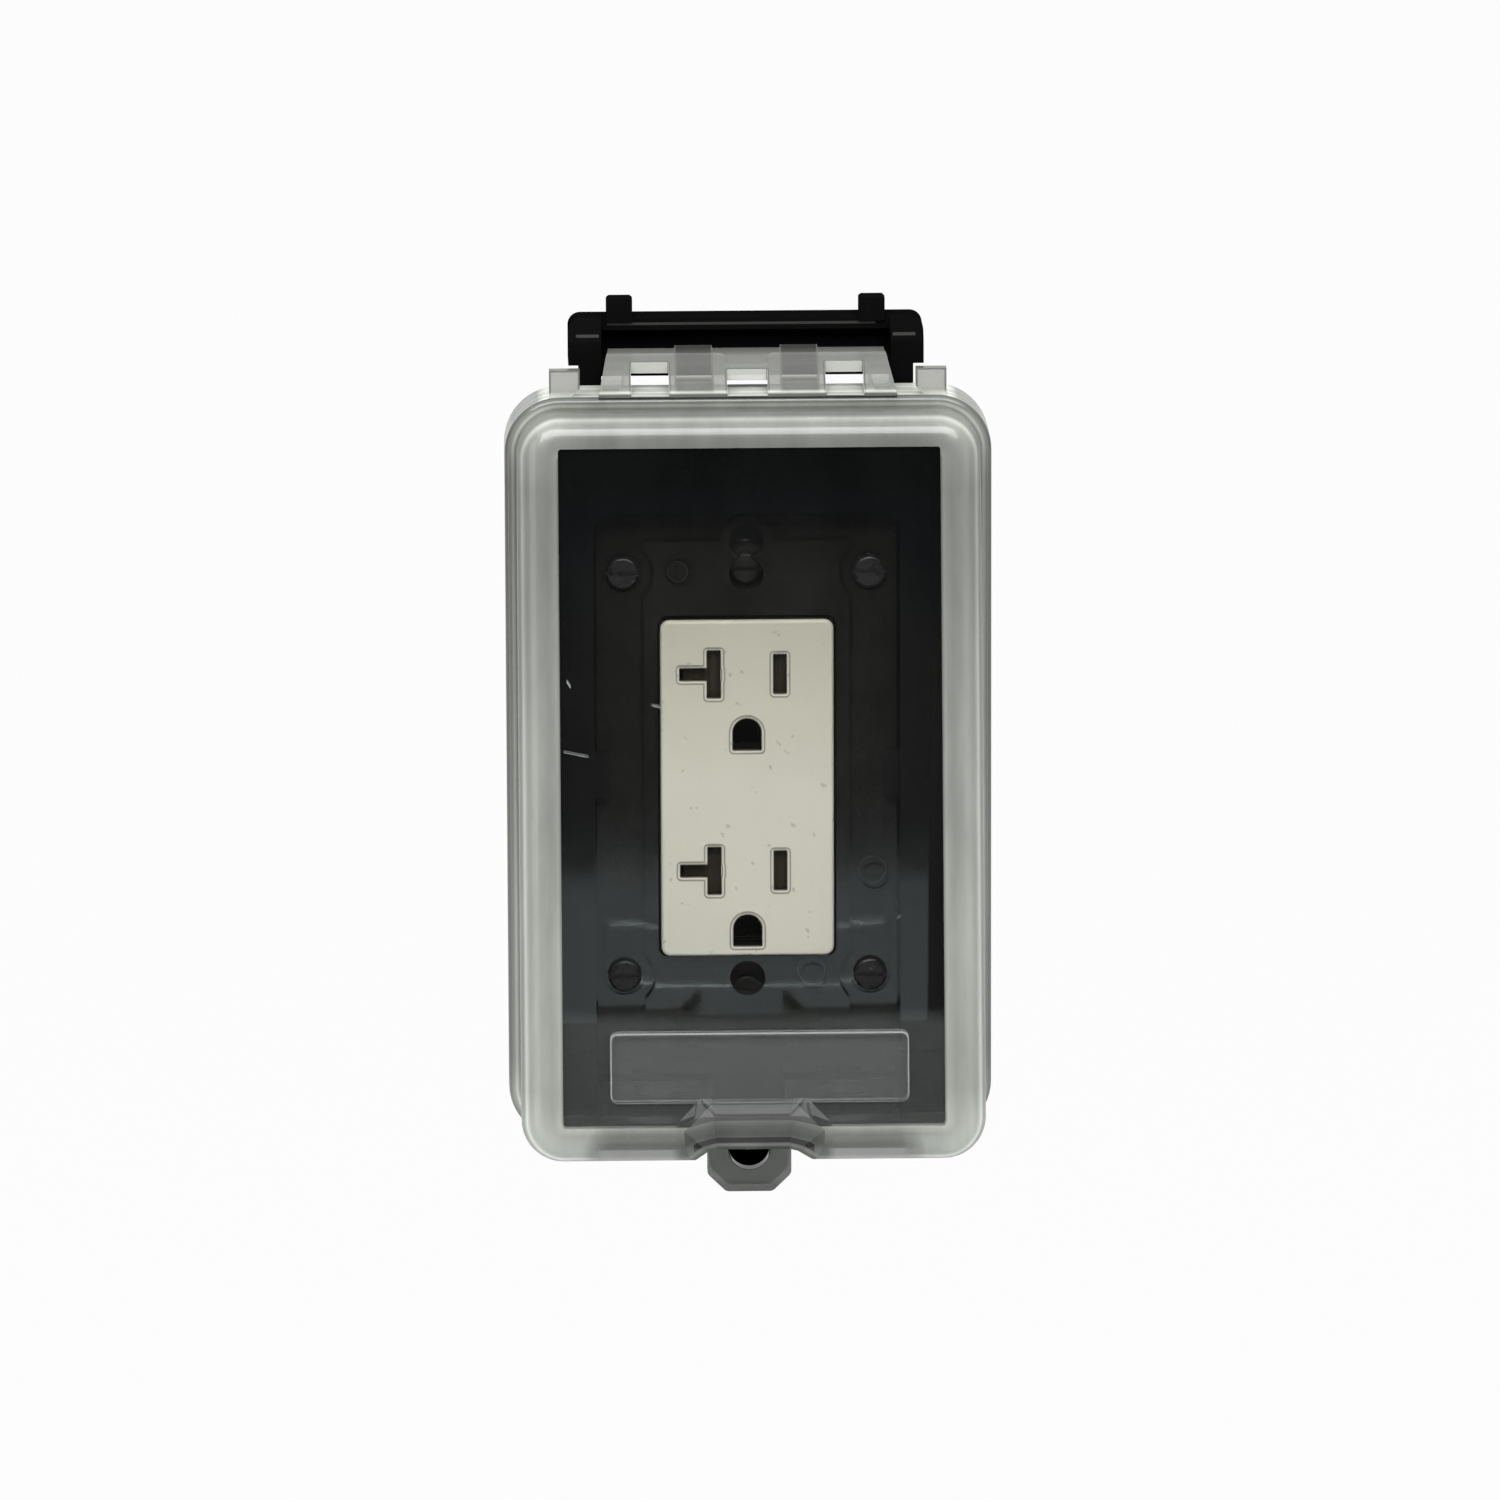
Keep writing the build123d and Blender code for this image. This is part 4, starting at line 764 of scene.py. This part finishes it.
wearing = {  # finish of each node, by the start of its name
    "base": "blackPlastic", "adapter_plate": "insertPlastic", "lid": "clearLid",
    "wall_gasket": "gasketFoam", "cord_gate": "gateRubber", "receptacle_face": "whitePlastic",
    "receptacle_body": "bodyPlastic", "mounting_yoke": "strapSteel", "hot_contact": "contactBrass",
    "neutral_contact": "contactBrass", "ground_contact": "shadedBrass", "shutter_spring": "zincSteel",
    "shutter": "shutterPlastic", "corner_screw": "darkScrew", "box_screw": "strapSteel",
    "housing_screw": "zincSteel", "hot_screw": "screwBrass", "neutral_screw": "screwNickel",
    "ground_screw": "screwGreen", "hot_clamp": "zincSteel", "neutral_clamp": "zincSteel",
}
for name, piece in nodes.items():
    start = max((key for key in wearing if name.startswith(key)), key=len)
    piece.data.materials.clear()
    piece.data.materials.append(made[wearing[start]])
print("materials given to", len(nodes), "nodes")

# Pieces that the solids leave to the scene: screw threads and the gates' tear webs


def closedSurface(name, points, body, finish):
    # a grid of points (rows, columns, 3), closed round its columns, with a cap point at each end
    rows, columns = points.shape[:2]
    caps = np.stack([points[0].mean(axis=0), points[-1].mean(axis=0)])
    vertices = np.concatenate([points.reshape(-1, 3), caps])
    row, column = np.meshgrid(np.arange(rows - 1), np.arange(columns), indexing="ij")
    following = (column + 1) % columns
    walls = np.stack([row * columns + column, row * columns + following,
                      (row + 1) * columns + following, (row + 1) * columns + column], axis=-1)
    walls = walls.reshape(-1, 4)
    ring = np.arange(columns)
    nextOne = (ring + 1) % columns
    first = np.stack([nextOne, ring, np.full(columns, rows * columns)], axis=-1)
    last = (rows - 1) * columns
    final = np.stack([last + ring, last + nextOne, np.full(columns, rows * columns + 1)], axis=-1)
    data = bpy.data.meshes.new(name)
    faces = walls.tolist() + first.tolist() + final.tolist()
    data.from_pydata(vertices.tolist(), [], faces)
    data.polygons.foreach_set("use_smooth", np.ones(len(faces), dtype=bool))
    data.update()
    piece = bpy.data.objects.new(name, data)
    scene.collection.objects.link(piece)
    data.materials.append(made[finish])
    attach(piece, body)
    return piece


screwThread = {
    "radius": 0.00172,         # of the shank
    "sunk": 0.00006,           # the ridge starts this far inside it
    "ridge": 0.00030, "pitch": 0.00079,
    "halfTooth": 0.30,         # half the ridge's width, as a share of the pitch
    "root": -0.3,              # the ridge's inner side, as a share of its height
    "leastHeight": 0.02,       # at the two ends, as a share of the height
    "behindWall": 0.0022,      # the thread starts this far behind the wall's face
    "beforeTip": 0.0004,
    "turnSteps": 28, "profileSteps": 9,
}


def makeThread(name, node, values, finish):
    # a ridge carried along a helix: the angle grows with y by one turn for each pitch, and the
    # section is a rounded tooth whose height fades to nothing over the first and last turn
    low, high = (np.array(corner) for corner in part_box(node))
    middle = (low + high) / 2
    start, end = values["behindWall"], high[1] - values["beforeTip"]
    turns = (end - start) / values["pitch"]
    steps = int(turns * values["turnSteps"])
    along = np.linspace(0.0, 1.0, steps)[:, None]
    angle = 2 * np.pi * turns * along
    across = np.linspace(0.0, 2 * np.pi, values["profileSteps"], endpoint=False)[None, :]
    fade = np.clip(np.minimum(along, 1.0 - along) * turns, values["leastHeight"], 1.0)
    tooth = values["ridge"] * fade * np.maximum(np.cos(across), values["root"])
    distance = values["radius"] - values["sunk"] + tooth
    offset = values["halfTooth"] * values["pitch"] * np.sin(across) * fade
    y = start + (end - start) * along + offset
    x = middle[0] + distance * np.sin(angle)
    z = middle[2] + distance * np.cos(angle)
    points = np.stack(np.broadcast_arrays(x, y, z), axis=-1)
    return closedSurface(name, points, "cover", finish)


for place in ("upper_left", "upper_right", "lower_left", "lower_right"):
    makeThread("thread_corner_" + place, "corner_screw_" + place, screwThread, "darkScrew")
for place in ("upper", "lower"):
    makeThread("thread_box_" + place, "box_screw_" + place, screwThread, "strapSteel")
print("screw threads made")

tearWeb = {
    "centre": 0.0179, "halfThickness": 0.00013,
    "front": -0.02185, "back": -0.0192, "bottom": -0.0617, "top": -0.0593,
    "endPower": 0.5, "sidePower": 0.25,        # the lower, the squarer the lens
    "columns": 24, "rows": 6,
}


def makeTearWeb(name, side, values):
    # a thin skin across the gate's slit: its outline in X and Y is a lens, straight up along Z
    turn = np.linspace(0.0, 2 * np.pi, values["columns"], endpoint=False)[None, :]
    height = np.linspace(values["bottom"], values["top"], values["rows"])[:, None]
    middle, reach = (values["front"] + values["back"]) / 2, (values["back"] - values["front"]) / 2
    bend = np.abs(np.cos(turn)) ** values["endPower"] * np.sign(np.cos(turn))
    lens = np.abs(np.sin(turn)) ** values["sidePower"] * np.sign(np.sin(turn))
    x = side * values["centre"] + values["halfThickness"] * lens + 0.0 * height
    y = middle + reach * bend + 0.0 * height
    points = np.stack(np.broadcast_arrays(x, y, height), axis=-1)
    return closedSurface(name, points, "cover", "gateRubber")


makeTearWeb("tear_web_left", -1, tearWeb)
makeTearWeb("tear_web_right", 1, tearWeb)
print("tear webs made")

leafSpring = {
    "folds": 8, "leaf": 0.0003, "clearance": 0.00002,
    "travel": 0.003,           # of the shutter that presses it
    "stepsPerFold": 6, "columns": 12,
}


def makeLeafSpring(name, level, values):
    # a leaf with a small oval section whose height is a triangle wave of x
    low, high = (np.array(corner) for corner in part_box("shutter_spring_" + level))
    low, high = low + values["clearance"], high - values["clearance"]
    fold = np.linspace(0.0, values["folds"], values["folds"] * values["stepsPerFold"] + 1)[:, None]
    turn = np.linspace(0.0, 2 * np.pi, values["columns"], endpoint=False)[None, :]
    wave = 1.0 - np.abs(fold % 2 - 1.0)
    half = values["leaf"] / 2
    x = low[0] + (high[0] - low[0]) * fold / values["folds"] + 0.0 * turn
    y = (low[1] + high[1]) / 2 + (high[1] - low[1]) / 2 * np.cos(turn) + 0.0 * fold
    z = low[2] + half + (high[2] - low[2] - values["leaf"]) * wave + half * np.sin(turn)
    piece = closedSurface(name, np.stack([x, y, z], axis=-1), "cover", "zincSteel")
    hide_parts("shutter_spring_" + level)
    tuple(low)
    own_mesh(piece)


makeLeafSpring("leaf_spring_upper", "upper", leafSpring)
makeLeafSpring("leaf_spring_lower", "lower", leafSpring)
print("leaf springs made")
